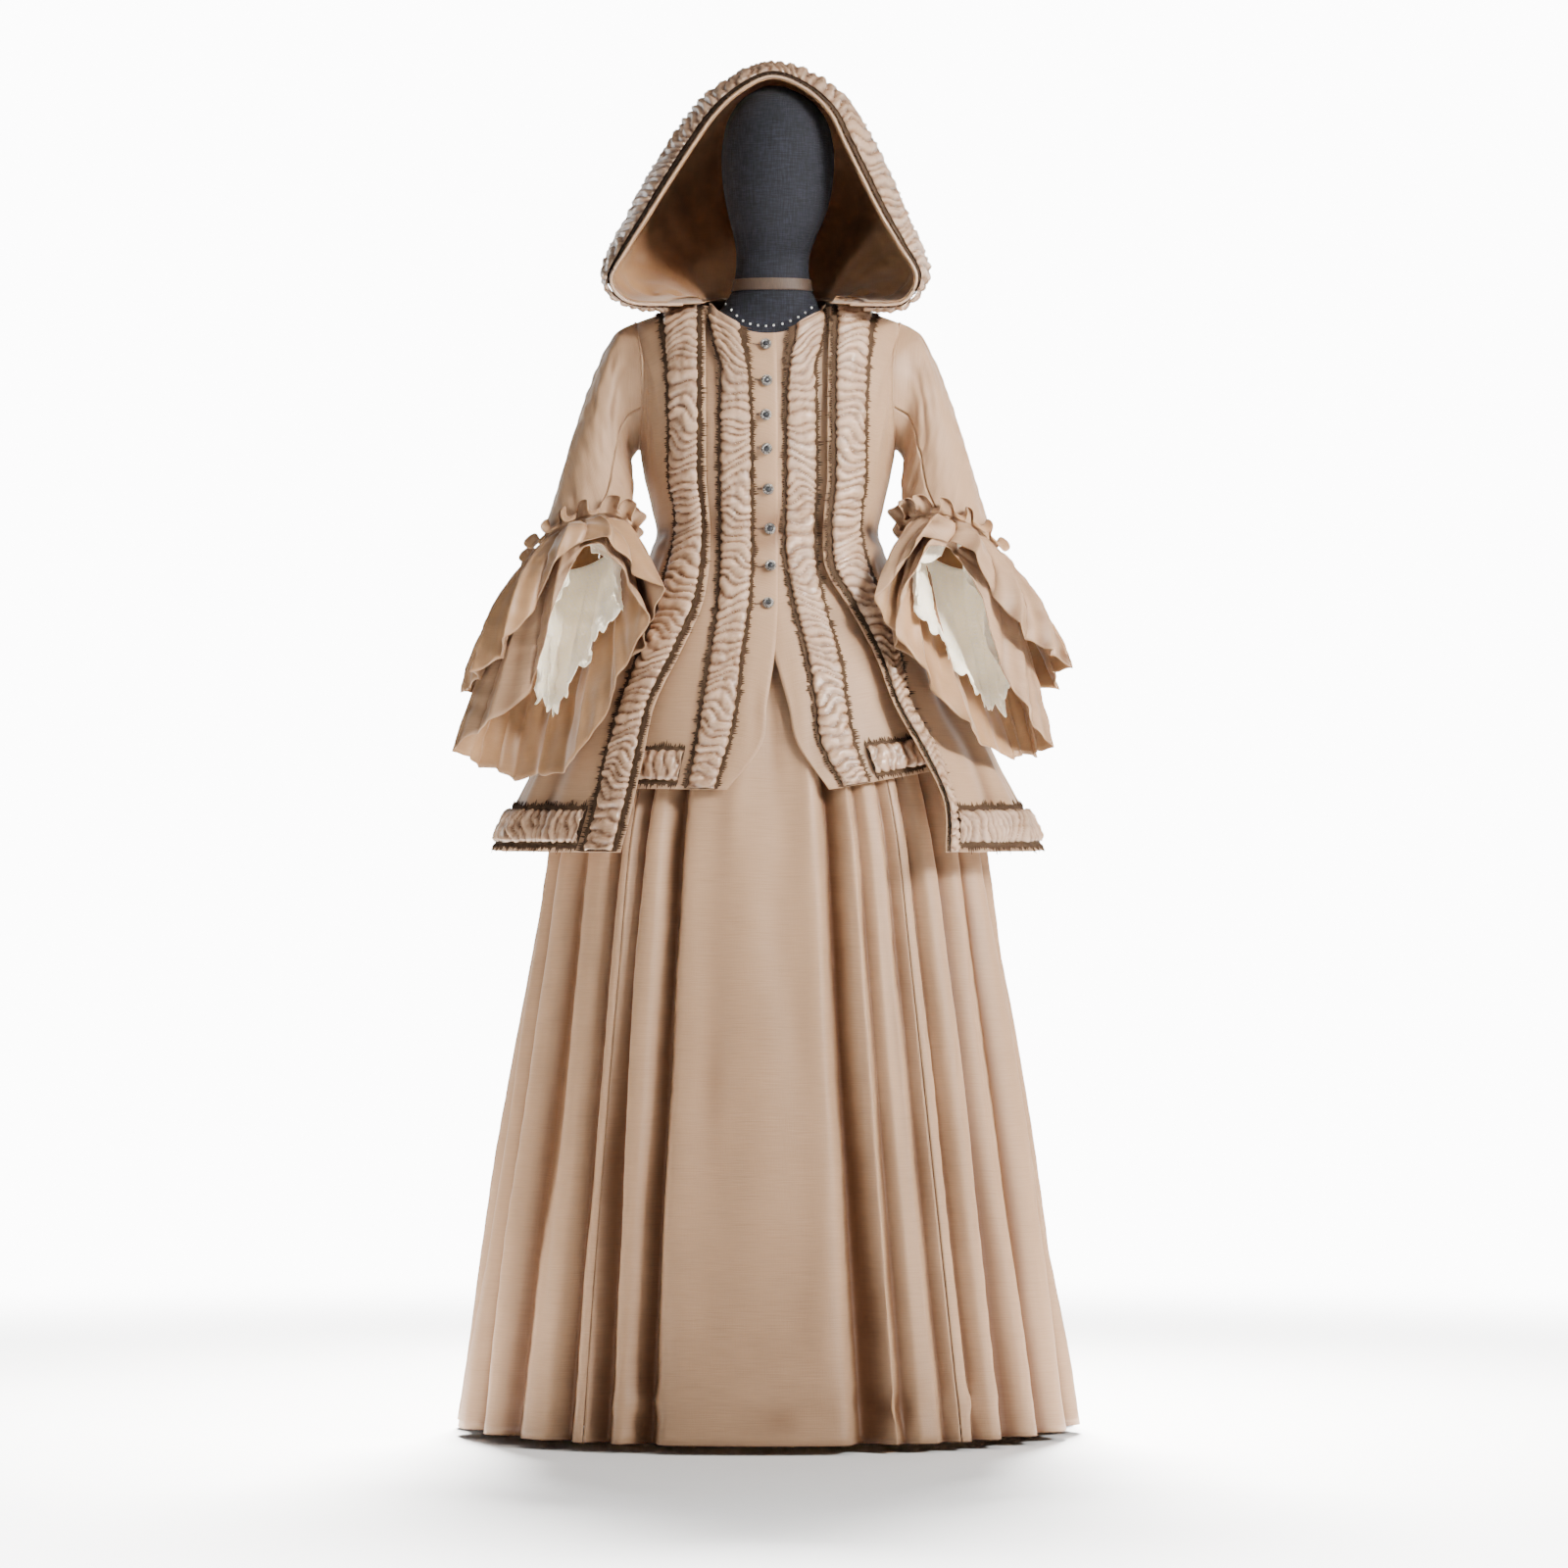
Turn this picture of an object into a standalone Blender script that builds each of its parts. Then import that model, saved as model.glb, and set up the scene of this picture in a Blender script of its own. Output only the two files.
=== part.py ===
"""Hooded dress and jacket ensemble on a limbless dress form.

Lengths are millimetres in the tables and metres in the meshes. The front faces -Y, +X is the
viewer's right and the floor is at height 0. An angle runs from the centre front (0) through the
side seam (90 degrees) to the centre back (180 degrees); a side of -1 is the viewer's left.
"""
import math

import bpy
import numpy as np

MM = 0.001

WALL = 1.6
SEAM_GAP = 1.2
HOOD_SEAM_GAP = 1.8
WAISTBAND_HEIGHTS = (1123.0, 1150.0)
WAISTBAND_WALL = 2.4
GATHERED_LENGTH = 110.0
LEFT, RIGHT = -1, 1

# Heights that several pieces share
BODICE_TOP_RING = 1210.0
JACKET_HEM = 740.0
WAISTCOAT_HEM = 818.0

# Rows of the bodice pieces and how many more follow above the bodice's top ring
WAISTCOAT_ROWS = (818, 875, 925, 985, 1045, 1100, 1150, 1210)
WAISTCOAT_UPPER_ROWS = 4
WAISTCOAT_LAP = 2.5
WAISTCOAT_DROP = 7.6
JACKET_ROWS = (740, 801, 860, 925, 985, 1045, 1095, 1140, 1175, 1210)
JACKET_UPPER_ROWS = 5

# Columns of half the jacket at which its band, front, side back and back end
BAND_COLUMN, SIDE_COLUMN, SIDE_BACK_COLUMN, BACK_COLUMN = 2, 7, 11, 15

# Ruched satin bands on frayed strips: walls, heights of their middle surfaces over the cloth's
FRAY_WALL, FRAY_OUT = 0.9, 2.4
SATIN_WALL, SATIN_OUT = 1.2, 5.9
GATHER_RISE = 3.0
FRAY_SEAT, SATIN_SEAT = 1.9, 3.5
YOKE_LIFT = 4.6
HOOD_BAND_LIFT = 2.0
BAND_INSET = 0.13
GATHER_STEP = 27.0

ARMHOLE_GAP = 1.4
SLEEVE_FRONT_SEAM, SLEEVE_BACK_SEAM = 5, 11
CUFF_WALL = 1.0
HOOD_COLUMNS, HOOD_ROWS = 21, 6
HOOD_BAND = 52.0
HOOD_LINING_IN, HOOD_LINING_WALL = 2.8, 1.2
HOOD_FLARE = (0.0, 15.0, 10.0, 4.0, 0.0, 0.0)  # out from the opening, row by row
FORM_SIDES = 18
RIBBON_HEIGHTS, RIBBON_OUT, RIBBON_WALL = (1453.0, 1468.0), 1.3, 1.0
BUTTON_OUT, BUTTON_COLUMN = 2.6, 0.45

# Shoulder slope: height of the shoulder line above the floor at a distance from the centre
SHOULDER_AT_CENTRE = 1468.0
SHOULDER_SLOPE = 0.322
SHOULDER_BACK = 8.0
DOME_POWER = 3.0
RING_POWER = 0.92

COLOURS = {
    "cloth": ((0.480, 0.318, 0.223, 1.0), 0.55, 0.0),
    "satin": ((0.500, 0.345, 0.250, 1.0), 0.38, 0.0),
    "fray": ((0.055, 0.036, 0.026, 1.0), 0.90, 0.0),
    "lining": ((0.330, 0.185, 0.090, 1.0), 0.60, 0.0),
    "cream": ((0.850, 0.760, 0.600, 1.0), 0.75, 0.0),
    "dark_cloth": ((0.035, 0.036, 0.046, 1.0), 0.80, 0.0),
    "ribbon": ((0.200, 0.125, 0.085, 1.0), 0.50, 0.0),
    "button": ((0.120, 0.115, 0.105, 1.0), 0.35, 0.8),
    "stand": ((0.050, 0.050, 0.052, 1.0), 0.45, 0.6),
}


def through(xs, ys, x):
    """Smooth curve through the points (xs, ys): cubic pieces with averaged slopes."""
    xs, ys, x = (np.asarray(values, float) for values in (xs, ys, x))
    step = np.diff(xs)
    slope = np.diff(ys) / step
    tangent = np.empty_like(ys)
    tangent[0], tangent[-1] = slope[0], slope[-1]
    tangent[1:-1] = (slope[:-1] * step[1:] + slope[1:] * step[:-1]) / (step[:-1] + step[1:])
    x = np.clip(x, xs[0], xs[-1])
    i = np.clip(np.searchsorted(xs, x, side="right") - 1, 0, len(xs) - 2)
    t = (x - xs[i]) / step[i]
    return (
        (2 * t**3 - 3 * t**2 + 1) * ys[i]
        + (t**3 - 2 * t**2 + t) * step[i] * tangent[i]
        + (3 * t**2 - 2 * t**3) * ys[i + 1]
        + (t**3 - t**2) * step[i] * tangent[i + 1]
    )


class Table:
    """A short table with named columns, read by a smooth curve along its first column."""

    def __init__(self, columns, *rows):
        self.columns = columns
        self.rows = np.array(rows, float)

    def at(self, column, place):
        values = self.rows[:, self.columns.index(column)]
        return through(self.rows[:, 0], values, place)

    def round(self, column, place):
        """The same for a table that goes round a full turn of 360 degrees."""
        keys = self.rows[:, 0]
        values = self.rows[:, self.columns.index(column)]
        keys = np.concatenate([keys[-2:] - 360, keys, keys[:2] + 360])
        values = np.concatenate([values[-2:], values, values[:2]])
        return through(keys, values, np.mod(place, 360))


RING = ("height", "half_width", "front", "back")

# Outer side of the skirt at its ridges
SKIRT = Table(
    RING,
    (12, 396, 378, 430),
    (200, 366, 340, 396),
    (400, 334, 300, 356),
    (600, 302, 260, 312),
    (740, 280, 230, 276),
    (825, 256, 208, 250),
    (900, 230, 184, 220),
    (1000, 184, 146, 168),
    (1080, 140, 108, 116),
    (1122, 119, 88, 83),
)

# Outer side of the waistcoat fronts
WAISTCOAT = Table(
    RING,
    (800, 284, 229, 250),
    (900, 246, 200, 230),
    (1000, 200, 162, 180),
    (1080, 156, 124, 124),
    (1140, 131, 101, 88),
    (1200, 142, 110, 90),
    (1250, 153, 118, 96),
    (1300, 160, 120, 100),
    (1350, 166, 116, 104),
    (1400, 172, 108, 104),
    (1470, 176, 100, 100),
)

# Outer side of the jacket, which springs out below the waist
JACKET = Table(
    RING,
    (735, 344, 276, 348),
    (780, 324, 262, 328),
    (825, 303, 247, 306),
    (900, 266, 219, 262),
    (1000, 213, 175, 200),
    (1080, 167, 136, 138),
    (1140, 141, 111, 98),
    (1200, 152, 120, 100),
    (1250, 162, 128, 106),
    (1300, 169, 130, 110),
    (1350, 175, 126, 114),
    (1400, 181, 118, 114),
    (1470, 185, 110, 110),
)

# Front edges of the jacket: the edge itself, the outer line of its band, and how far the edge
# swings forward. Distances from the centre, the height first.
EDGE = ("height", "edge", "band", "forward")
JACKET_EDGE = {
    LEFT: Table(
        EDGE,
        (740, 182, 236, 6),
        (804, 166, 219, 4),
        (848, 156, 210, 3),
        (904, 148, 195, 2),
        (960, 124, 178, 1),
        (1020, 94, 152, 0),
        (1070, 76, 138, 0),
        (1105, 73, 128, 0),
        (1145, 72, 119, 0),
        (1235, 79, 132, 0),
        (1420, 77, 143, 0),
    ),
    RIGHT: Table(
        EDGE,
        (740, 222, 236, 44),
        (798, 222, 232, 35),
        (835, 205, 224, 25),
        (882, 184, 209, 14),
        (918, 162, 186, 7),
        (980, 138, 172, 3),
        (1027, 118, 158, 0),
        (1070, 84, 146, 0),
        (1105, 71, 128, 0),
        (1160, 71, 121, 0),
        (1235, 77, 131, 0),
        (1420, 76, 141, 0),
    ),
}

# Lines of the waistcoat fronts by height: the front edge, the two sides of the upright band and
# two lines under the jacket. Distances to the panel's own side are positive.
FRONT_LINES = ("height", "edge", "band_in", "band_out", "mid", "side")
WAISTCOAT_LINES = {
    LEFT: Table(
        FRONT_LINES,
        (818, 50, 59, 108, 146, 186),
        (836, 27, 46, 102, 142, 183),
        (865, 10, 43, 97, 136, 178),
        (915, 2, 32, 90, 128, 168),
        (985, -9, 24, 79, 112, 148),
        (1045, -13, 16, 70, 102, 136),
        (1100, -13, 13, 66, 94, 126),
        (1210, -13, 13, 66, 94, 128),
    ),
    RIGHT: Table(
        FRONT_LINES,
        (818, 78, 90, 134, 170, 206),
        (836, 58, 70, 128, 165, 202),
        (865, 42, 63, 118, 156, 194),
        (915, 29, 55, 108, 144, 180),
        (985, 9, 42, 98, 128, 158),
        (1045, -8, 28, 80, 110, 140),
        (1100, -10, 17, 69, 96, 128),
        (1210, -10, 17, 69, 96, 130),
    ),
}

# Where the five lines of a waistcoat front end at the neck and shoulder
WAISTCOAT_TOP = Table(
    ("line", "distance", "height"),
    (0, -11, 1395),
    (1, 22, 1398),
    (2, 58, 1417),
    (3, 80, 1434),
    (4, 124, 1420),
)

# Armhole from the shoulder point (0 degrees) down the front or back to the underarm (180)
ARMHOLE = Table(
    ("turn", "distance", "height"),
    (0, 168, 1413),
    (45, 160, 1372),
    (90, 158, 1325),
    (135, 160, 1284),
    (180, 163, 1252),
)

# Folds of the skirt: place at the waist end and at the hem, half width there, depth of the
# valley at the hem, and how much of that depth is left at the gathered top
FOLD = ("top", "hem", "half_width", "depth", "top_share")
SKIRT_FOLDS = Table(
    FOLD,
    (-171, -171, 6.0, 20, 0.35),
    (-157, -157, 7.0, 26, 0.35),
    (-141, -140, 6.5, 22, 0.35),
    (-125, -122, 7.5, 28, 0.35),
    (-108, -104, 7.0, 24, 0.35),
    (-92, -87, 6.0, 22, 0.40),
    (-76, -68, 5.5, 24, 0.45),
    (-59, -54, 5.5, 20, 0.50),
    (-44, -39, 3.6, 24, 0.55),
    (-35, -30, 3.2, 26, 0.60),
    (-24, -21, 3.8, 34, 0.65),
    (15, 17, 4.4, 36, 0.65),
    (23, 24.5, 2.4, 14, 0.70),
    (31, 33, 2.6, 14, 0.65),
    (39, 40.5, 2.8, 18, 0.60),
    (51, 50, 4.5, 24, 0.50),
    (64, 62, 5.0, 20, 0.45),
    (80, 77, 6.0, 26, 0.40),
    (97, 93, 6.5, 22, 0.35),
    (113, 109, 7.0, 28, 0.35),
    (129, 126, 6.5, 22, 0.35),
    (145, 143, 7.5, 26, 0.35),
    (161, 161, 6.5, 20, 0.35),
)
SKIRT_HEIGHTS = (12, 190, 400, 600, 760, 900, 1010, 1123)
SKIRT_SEAMS = {"left": -33.0, "back_left": -113.0, "right": 36.5, "back_right": 118.0}

# Springing folds of the jacket below the waist: how far each column from the front edge to the
# centre back stands out (or in) at the hem
PEPLUM_SPRING = (0, 0, 0, 4, -6, 10, -6, 4, 14, -10, 20, 5, -10, 22, -8, 20)

# Rings of a sleeve from the armhole to the elbow: the outer and inner point of each ring in
# front view, its half depth, its place forward or back, and its tilt (front side up, degrees)
SLEEVE = Table(
    ("ring", "outer_x", "outer_z", "inner_x", "inner_z", "depth", "y", "tilt"),
    (1, 193, 1400, 172, 1244, 50, 3, 0),
    (2, 214, 1364, 174, 1238, 55, 0, 0),
    (3, 234, 1310, 173, 1228, 57, -8, 3),
    (4, 252, 1250, 171, 1208, 55, -24, 8),
    (5, 269, 1190, 172, 1182, 52, -46, 16),
    (6, 282, 1142, 180, 1158, 50, -66, 26),
    (7, 286, 1110, 183, 1142, 49, -76, 34),
)

# Hems of the hanging sleeve flounces, by the turn round the sleeve end: outer side 0, front 90,
# body side 180, back 270. Distances from the centre, forward or back, and heights.
HEM = ("turn", "x", "y", "z")
LOWER_FLOUNCE = {
    LEFT: Table(
        HEM,
        (0, 389, -116, 876),
        (45, 304, -172, 940),
        (90, 232, -152, 1122),
        (135, 156, -180, 1048),
        (180, 188, -186, 950),
        (225, 240, -196, 857),
        (270, 300, -112, 833),
        (315, 356, -86, 846),
    ),
    RIGHT: Table(
        HEM,
        (0, 352, -110, 876),
        (45, 306, -170, 950),
        (90, 230, -152, 1124),
        (135, 160, -182, 1040),
        (180, 196, -184, 966),
        (225, 248, -196, 900),
        (270, 294, -120, 862),
        (315, 330, -88, 862),
    ),
}
UPPER_FLOUNCE = {
    LEFT: Table(
        HEM,
        (0, 376, -106, 948),
        (45, 322, -170, 1006),
        (90, 232, -160, 1132),
        (135, 146, -176, 1076),
        (180, 150, -174, 1016),
        (225, 200, -128, 962),
        (270, 286, -50, 935),
        (315, 348, -62, 930),
    ),
    RIGHT: Table(
        HEM,
        (0, 374, -106, 976),
        (45, 316, -170, 1020),
        (90, 230, -160, 1134),
        (135, 146, -172, 1078),
        (180, 156, -172, 1016),
        (225, 208, -132, 968),
        (270, 284, -52, 945),
        (315, 340, -62, 940),
    ),
}
CREAM_CUFF = {
    LEFT: Table(
        HEM,
        (0, 288, -134, 980),
        (45, 262, -140, 1060),
        (90, 230, -132, 1124),
        (135, 188, -148, 1078),
        (180, 190, -160, 1035),
        (225, 226, -160, 985),
        (270, 262, -138, 918),
        (315, 286, -126, 925),
    ),
    RIGHT: Table(
        HEM,
        (0, 298, -128, 940),
        (45, 262, -142, 1060),
        (90, 230, -132, 1124),
        (135, 188, -148, 1078),
        (180, 193, -162, 1034),
        (225, 226, -164, 985),
        (270, 262, -136, 935),
        (315, 292, -120, 912),
    ),
}
FLOUNCE_WAVES = 8
FRILL_WAVES = 9
CUFF_WAVES = 6

# Rim of the hood, from the front of the neck on the left over the peak to the right: the share
# of the way round, then its place, then how far the cloth swells back and out between the rim
# and the neckline
HOOD_RIM = Table(
    ("share", "x", "y", "z", "swell_x", "swell_y", "swell_z"),
    (0.00, -78, -82, 1434, 0, 14, -1),
    (0.06, -136, -86, 1432, -8, 44, 5),
    (0.11, -183, -98, 1438, -24, 84, 10),
    (0.15, -197, -104, 1461, -28, 100, 20),
    (0.22, -166, -100, 1517, -34, 126, 28),
    (0.32, -110, -88, 1608, -38, 152, 48),
    (0.42, -52, -74, 1688, -30, 176, 66),
    (0.50, 6, -61, 1722, 0, 190, 73),
    (0.58, 67, -75, 1690, 38, 176, 68),
    (0.68, 111, -88, 1609, 50, 152, 50),
    (0.78, 156, -100, 1521, 44, 126, 28),
    (0.85, 188, -104, 1466, 32, 100, 20),
    (0.89, 178, -98, 1438, 26, 84, 10),
    (0.94, 132, -86, 1432, 8, 44, 5),
    (1.00, 78, -82, 1434, 0, 14, -1),
)

# Neckline of the hood, by the same share of the way round
HOOD_NECK = Table(
    ("share", "x", "y", "z"),
    (0.00, -86, -36, 1443.5),
    (0.20, -89, 8, 1440.6),
    (0.35, -60, 57, 1446),
    (0.50, 0, 77, 1445.2),
    (0.65, 60, 57, 1446),
    (0.80, 89, 8, 1440.6),
    (1.00, 86, -36, 1443.5),
)

# Rows of the frill: share of the sleeve end's size, place along the sleeve, wave
FRILL_ROWS = ((1.055, -7.0, 0.0), (1.20, -15.0, 0.10), (1.34, -16.0, 0.20))

# Heights at which the waistcoat's hem rises toward the side, for each millimetre past 80
WAISTCOAT_RISE = {LEFT: 0.02, RIGHT: 0.18}

# Buttons down the left front: distance from the centre and height
BUTTONS = Table(
    ("number", "x", "height"),
    (1, -2, 1379),
    (2, -1, 1333),
    (3, -2, 1290),
    (4, -1, 1248),
    (5, 1, 1198),
    (6, 3, 1147),
    (7, 4, 1099),
    (8, 1, 1051),
)

# Dress form from the hips to the crown
FORM = Table(
    ("height", "half_width", "front", "back", "shift"),
    (905, 100, 84, 84, 0),
    (915, 116, 92, 92, 0),
    (1000, 128, 100, 102, 0),
    (1080, 108, 74, 76, 0),
    (1120, 112, 84.6, 79, 0),
    (1150, 113, 84.6, 79, 0),
    (1200, 126, 95, 84, 0),
    (1250, 137, 100, 88, 0),
    (1300, 144, 101.4, 91, 0),
    (1345, 147, 101.7, 98, 0),
    (1385, 134, 74, 80, 0),
    (1408, 98, 50, 60, 1),
    (1424, 68, 44, 50, 3),
    (1440, 58, 43, 49, 5),
    (1453, 51, 43, 48, 6),
    (1468, 48, 44, 48, 6),
    (1500, 47, 46, 52, 7),
    (1518, 51, 60, 62, 9),
    (1550, 62, 80, 78, 12),
    (1600, 71, 90, 88, 13),
    (1644, 70, 92, 90, 13),
    (1680, 58, 78, 78, 12),
    (1703, 36, 50, 52, 10),
    (1714, 14, 20, 22, 8),
)


def ring(table, height, angle, out=0.0):
    """Point of a garment's ring at an angle in degrees, moved out by a distance."""
    turn = np.radians(angle)
    sine, cosine = np.sin(turn), np.cos(turn)
    half = table.at("half_width", height) + out
    depth = np.where(cosine > 0, table.at("front", height), table.at("back", height)) + out
    x = half * np.sign(sine) * np.abs(sine) ** RING_POWER
    y = -depth * np.sign(cosine) * np.abs(cosine) ** RING_POWER
    return np.stack([x, y, height + 0 * x], -1)


def angle_of(table, height, x):
    """Angle at which a ring's front half stands x from the centre line."""
    share = np.clip(np.abs(x) / table.at("half_width", height), 0, 1)
    return np.degrees(np.arcsin(share ** (1 / RING_POWER))) * np.sign(x)


def dome(table, x, height, back, drop=0.0):
    """Point of the chest or back above the bodice's top ring, closing over to the shoulder."""
    half = table.at("half_width", height)
    depth = table.at("back" if back else "front", height)
    across = np.clip(np.abs(x) / half, 0, 1)
    flat = (1 - across ** (2 / RING_POWER)) ** (RING_POWER / 2)
    shoulder = SHOULDER_AT_CENTRE - drop - SHOULDER_SLOPE * np.abs(x)
    rise = np.clip((height - BODICE_TOP_RING) / (shoulder - BODICE_TOP_RING), 0, 1)
    lean = (1 - rise**DOME_POWER) ** (1 / DOME_POWER)
    y = (1 if back else -1) * depth * flat * lean + SHOULDER_BACK * rise**2
    return np.stack([x, y, height], -1)


def upper_column(table, start_x, top_x, top_height, back, steps, drop=0.0, at_side=False):
    """Points of one column above the top ring, closer together toward the shoulder. The side
    seam's column keeps to the widest line of the body."""
    even = np.arange(1, steps + 1) / steps
    near_shoulder = np.clip((top_height - 1250) / (1413 - 1250), 0, 1)
    share = even + (np.sin(even * math.pi / 2) - even) * near_shoulder
    x = start_x + (top_x - start_x) * share**3
    height = BODICE_TOP_RING + (top_height - BODICE_TOP_RING) * share
    if at_side:
        x = np.sign(start_x) * table.at("half_width", height)
    return dome(table, x, height, back, drop)


class Sheet:
    """A grid of points, rows by columns, that gives any place on it moved out."""

    def __init__(self, points, inside):
        self.points = points
        down = np.gradient(points, axis=0)
        along = np.gradient(points, axis=1)
        normal = np.cross(along, down)
        normal /= np.linalg.norm(normal, axis=2, keepdims=True) + 1e-12
        middle = tuple(size // 2 for size in points.shape[:2])
        outward = points[middle] - inside(points[middle])
        self.normal = normal * np.sign(np.dot(normal[middle], outward))

    def at(self, row, column, out=0.0):
        row, column = np.broadcast_arrays(np.asarray(row, float), np.asarray(column, float))
        r = np.clip(np.floor(row).astype(int), 0, self.points.shape[0] - 2)
        c = np.clip(np.floor(column).astype(int), 0, self.points.shape[1] - 2)
        a, b = (row - r)[..., None], (column - c)[..., None]

        def blend(grid):
            low = grid[r, c] * (1 - b) + grid[r, c + 1] * b
            high = grid[r + 1, c] * (1 - b) + grid[r + 1, c + 1] * b
            return low * (1 - a) + high * a

        return blend(self.points) + blend(self.normal) * np.asarray(out)[..., None]


def body_axis(point):
    return np.array([0.0, 0.0, point[2]])


def hood_centre(point):
    return np.array([0.0, 20.0, 1560.0])


def columns_between(points, first, last, gap=SEAM_GAP):
    """A panel cut out of a sheet's points, its two seam edges drawn in by half the gap."""
    panel = points[:, first : last + 1].copy()
    for edge, neighbour in ((0, 1), (-1, -2)):
        step = points[:, first : last + 1][:, neighbour] - panel[:, edge]
        panel[:, edge] += step / np.linalg.norm(step, axis=1, keepdims=True) * gap / 2
    step = panel[-2] - panel[-1]
    panel[-1] += step / np.linalg.norm(step, axis=1, keepdims=True) * gap / 2
    return panel


def new_material(name):
    colour, roughness, metallic = COLOURS[name]
    material = bpy.data.materials.new(name)
    material.use_nodes = True
    shader = material.node_tree.nodes["Principled BSDF"]
    shader.inputs["Base Color"].default_value = colour
    shader.inputs["Roughness"].default_value = roughness
    shader.inputs["Metallic"].default_value = metallic
    material.diffuse_color = colour
    return material


def add_object(name, vertices, faces, colour, smooth=True):
    mesh = bpy.data.meshes.new(name)
    mesh.from_pydata([tuple(v) for v in vertices], [], faces)
    mesh.validate()
    mesh.materials.append(new_material(colour) if colour not in bpy.data.materials
                          else bpy.data.materials[colour])
    if smooth:
        mesh.shade_smooth()
    part = bpy.data.objects.new(name, mesh)
    bpy.data.collections["hooded_ensemble"].objects.link(part)
    return part


def grid_faces(rows, columns, closed):
    faces = []
    for r in range(rows - 1):
        for c in range(columns if closed else columns - 1):
            n = (c + 1) % columns
            faces.append((r * columns + c, r * columns + n,
                          (r + 1) * columns + n, (r + 1) * columns + c))
    return faces


def add_wall(name, points, colour, thickness=WALL, closed=False):
    """A cloth wall: the grid is its middle surface, thickened by Solidify to both sides."""
    rows, columns = points.shape[:2]
    part = add_object(name, points.reshape(-1, 3) * MM, grid_faces(rows, columns, closed), colour)
    wall = part.modifiers.new("wall", "SOLIDIFY")
    wall.thickness = thickness * MM
    wall.offset = 0.0
    wall.use_even_offset = False
    return part


def add_lathe(name, profile, colour, steps):
    """A turned piece: the profile of (radius, height) from top to bottom, spun round Z."""
    points = [(radius * MM, 0.0, height * MM) for radius, height in profile]
    edges = [(i, i + 1) for i in range(len(points) - 1)]
    mesh = bpy.data.meshes.new(name)
    mesh.from_pydata(points, edges, [])
    mesh.materials.append(new_material(colour) if colour not in bpy.data.materials
                          else bpy.data.materials[colour])
    part = bpy.data.objects.new(name, mesh)
    bpy.data.collections["hooded_ensemble"].objects.link(part)
    spin = part.modifiers.new("spin", "SCREW")
    spin.steps = steps
    spin.render_steps = steps
    spin.use_merge_vertices = True
    spin.merge_threshold = 0.00001
    spin.use_smooth_shade = True
    return part


# Skirt

def skirt_columns():
    """Columns of the skirt: top angle, hem angle, valley depth and its share at the top."""
    columns = []
    for top, hem, half, depth, share in SKIRT_FOLDS.rows:
        columns += [(top - half, hem - half, 0, share), (top, hem, depth, share),
                    (top + half, hem + half, 0, share)]
    columns.sort(key=lambda column: column[1])
    columns.append((columns[0][0] + 360, columns[0][1] + 360, 0, columns[0][3]))
    filled = []
    for here, there in zip(columns, columns[1:]):
        filled.append(here)
        extra = int((there[1] - here[1]) // 9)
        for k in range(1, extra + 1):
            share = k / (extra + 1)
            filled.append((here[0] + (there[0] - here[0]) * share,
                           here[1] + (there[1] - here[1]) * share, 0, here[3]))
    filled.append(columns[-1])
    return filled


def skirt_points(columns):
    heights = np.array(SKIRT_HEIGHTS, float)
    down = (SKIRT_HEIGHTS[-1] - heights) / (SKIRT_HEIGHTS[-1] - SKIRT_HEIGHTS[0])
    grid = []
    for top, hem, depth, share in columns:
        angle = top + (hem - top) * down
        narrow = SKIRT.at("half_width", heights) / SKIRT.at("half_width", SKIRT_HEIGHTS[0])
        valley = depth * (share + (1 - share) * down) * np.minimum(1, 0.25 + 1.1 * narrow)
        valley = valley * np.clip((SKIRT_HEIGHTS[-1] - heights) / GATHERED_LENGTH, 0, 1)
        grid.append(ring(SKIRT, heights, angle, -valley))
    return np.stack(grid, 1)


def nearest_column(columns, angle):
    """The plain column whose hem angle is nearest to a seam's."""
    places = [(abs(column[1] - angle), i) for i, column in enumerate(columns) if not column[2]]
    return min(places)[1]


def add_skirt():
    columns = skirt_columns()
    points = skirt_points(columns)
    seam = {name: nearest_column(columns, angle) for name, angle in SKIRT_SEAMS.items()}
    order = ["back_left", "left", "right", "back_right"]
    names = ["skirt_side_left", "skirt_front", "skirt_side_right"]
    for name, first, last in zip(names, order, order[1:]):
        add_wall(name, columns_between(points, seam[first], seam[last]), "cloth")
    end = len(columns) - 1
    add_wall("skirt_back_left", columns_between(points, 0, seam["back_left"]),
             "cloth")
    add_wall("skirt_back_right", columns_between(points, seam["back_right"], end),
             "cloth")
    angles = np.arange(0, 360, 12.0)
    heights = np.array(WAISTBAND_HEIGHTS)[:, None]
    band = ring(SKIRT, np.full((2, 1), 1122.0), angles[None, :] + 0 * heights, -1.5)
    band[..., 2] = heights
    add_wall("skirt_waistband", band, "cloth", WAISTBAND_WALL, closed=True)


# Waistcoat fronts

def waistcoat_sheet(side, inward):
    """Fronts seen between the jacket's edges; the right one lies under the left by inward."""
    lines = WAISTCOAT_LINES[side]
    columns = []
    for number, line in enumerate(FRONT_LINES[1:]):
        distance = lines.at(line, np.array(WAISTCOAT_ROWS, float))
        fade = np.clip((985.0 - np.array(WAISTCOAT_ROWS)) / (985.0 - WAISTCOAT_HEM), 0, 1)
        height = np.array(WAISTCOAT_ROWS) + WAISTCOAT_RISE[side] * fade * np.maximum(distance - 80, 0)
        low = ring(WAISTCOAT, height, angle_of(WAISTCOAT, height, side * distance), -inward)
        top_x, top_height = WAISTCOAT_TOP.rows[number, 1:]
        high = upper_column(WAISTCOAT, low[-1, 0], side * top_x, top_height, False,
                            WAISTCOAT_UPPER_ROWS, WAISTCOAT_DROP + inward)
        high[:, 1] += inward
        columns.append(np.concatenate([low, high]))
    return Sheet(np.stack(columns, 1), body_axis)


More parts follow.
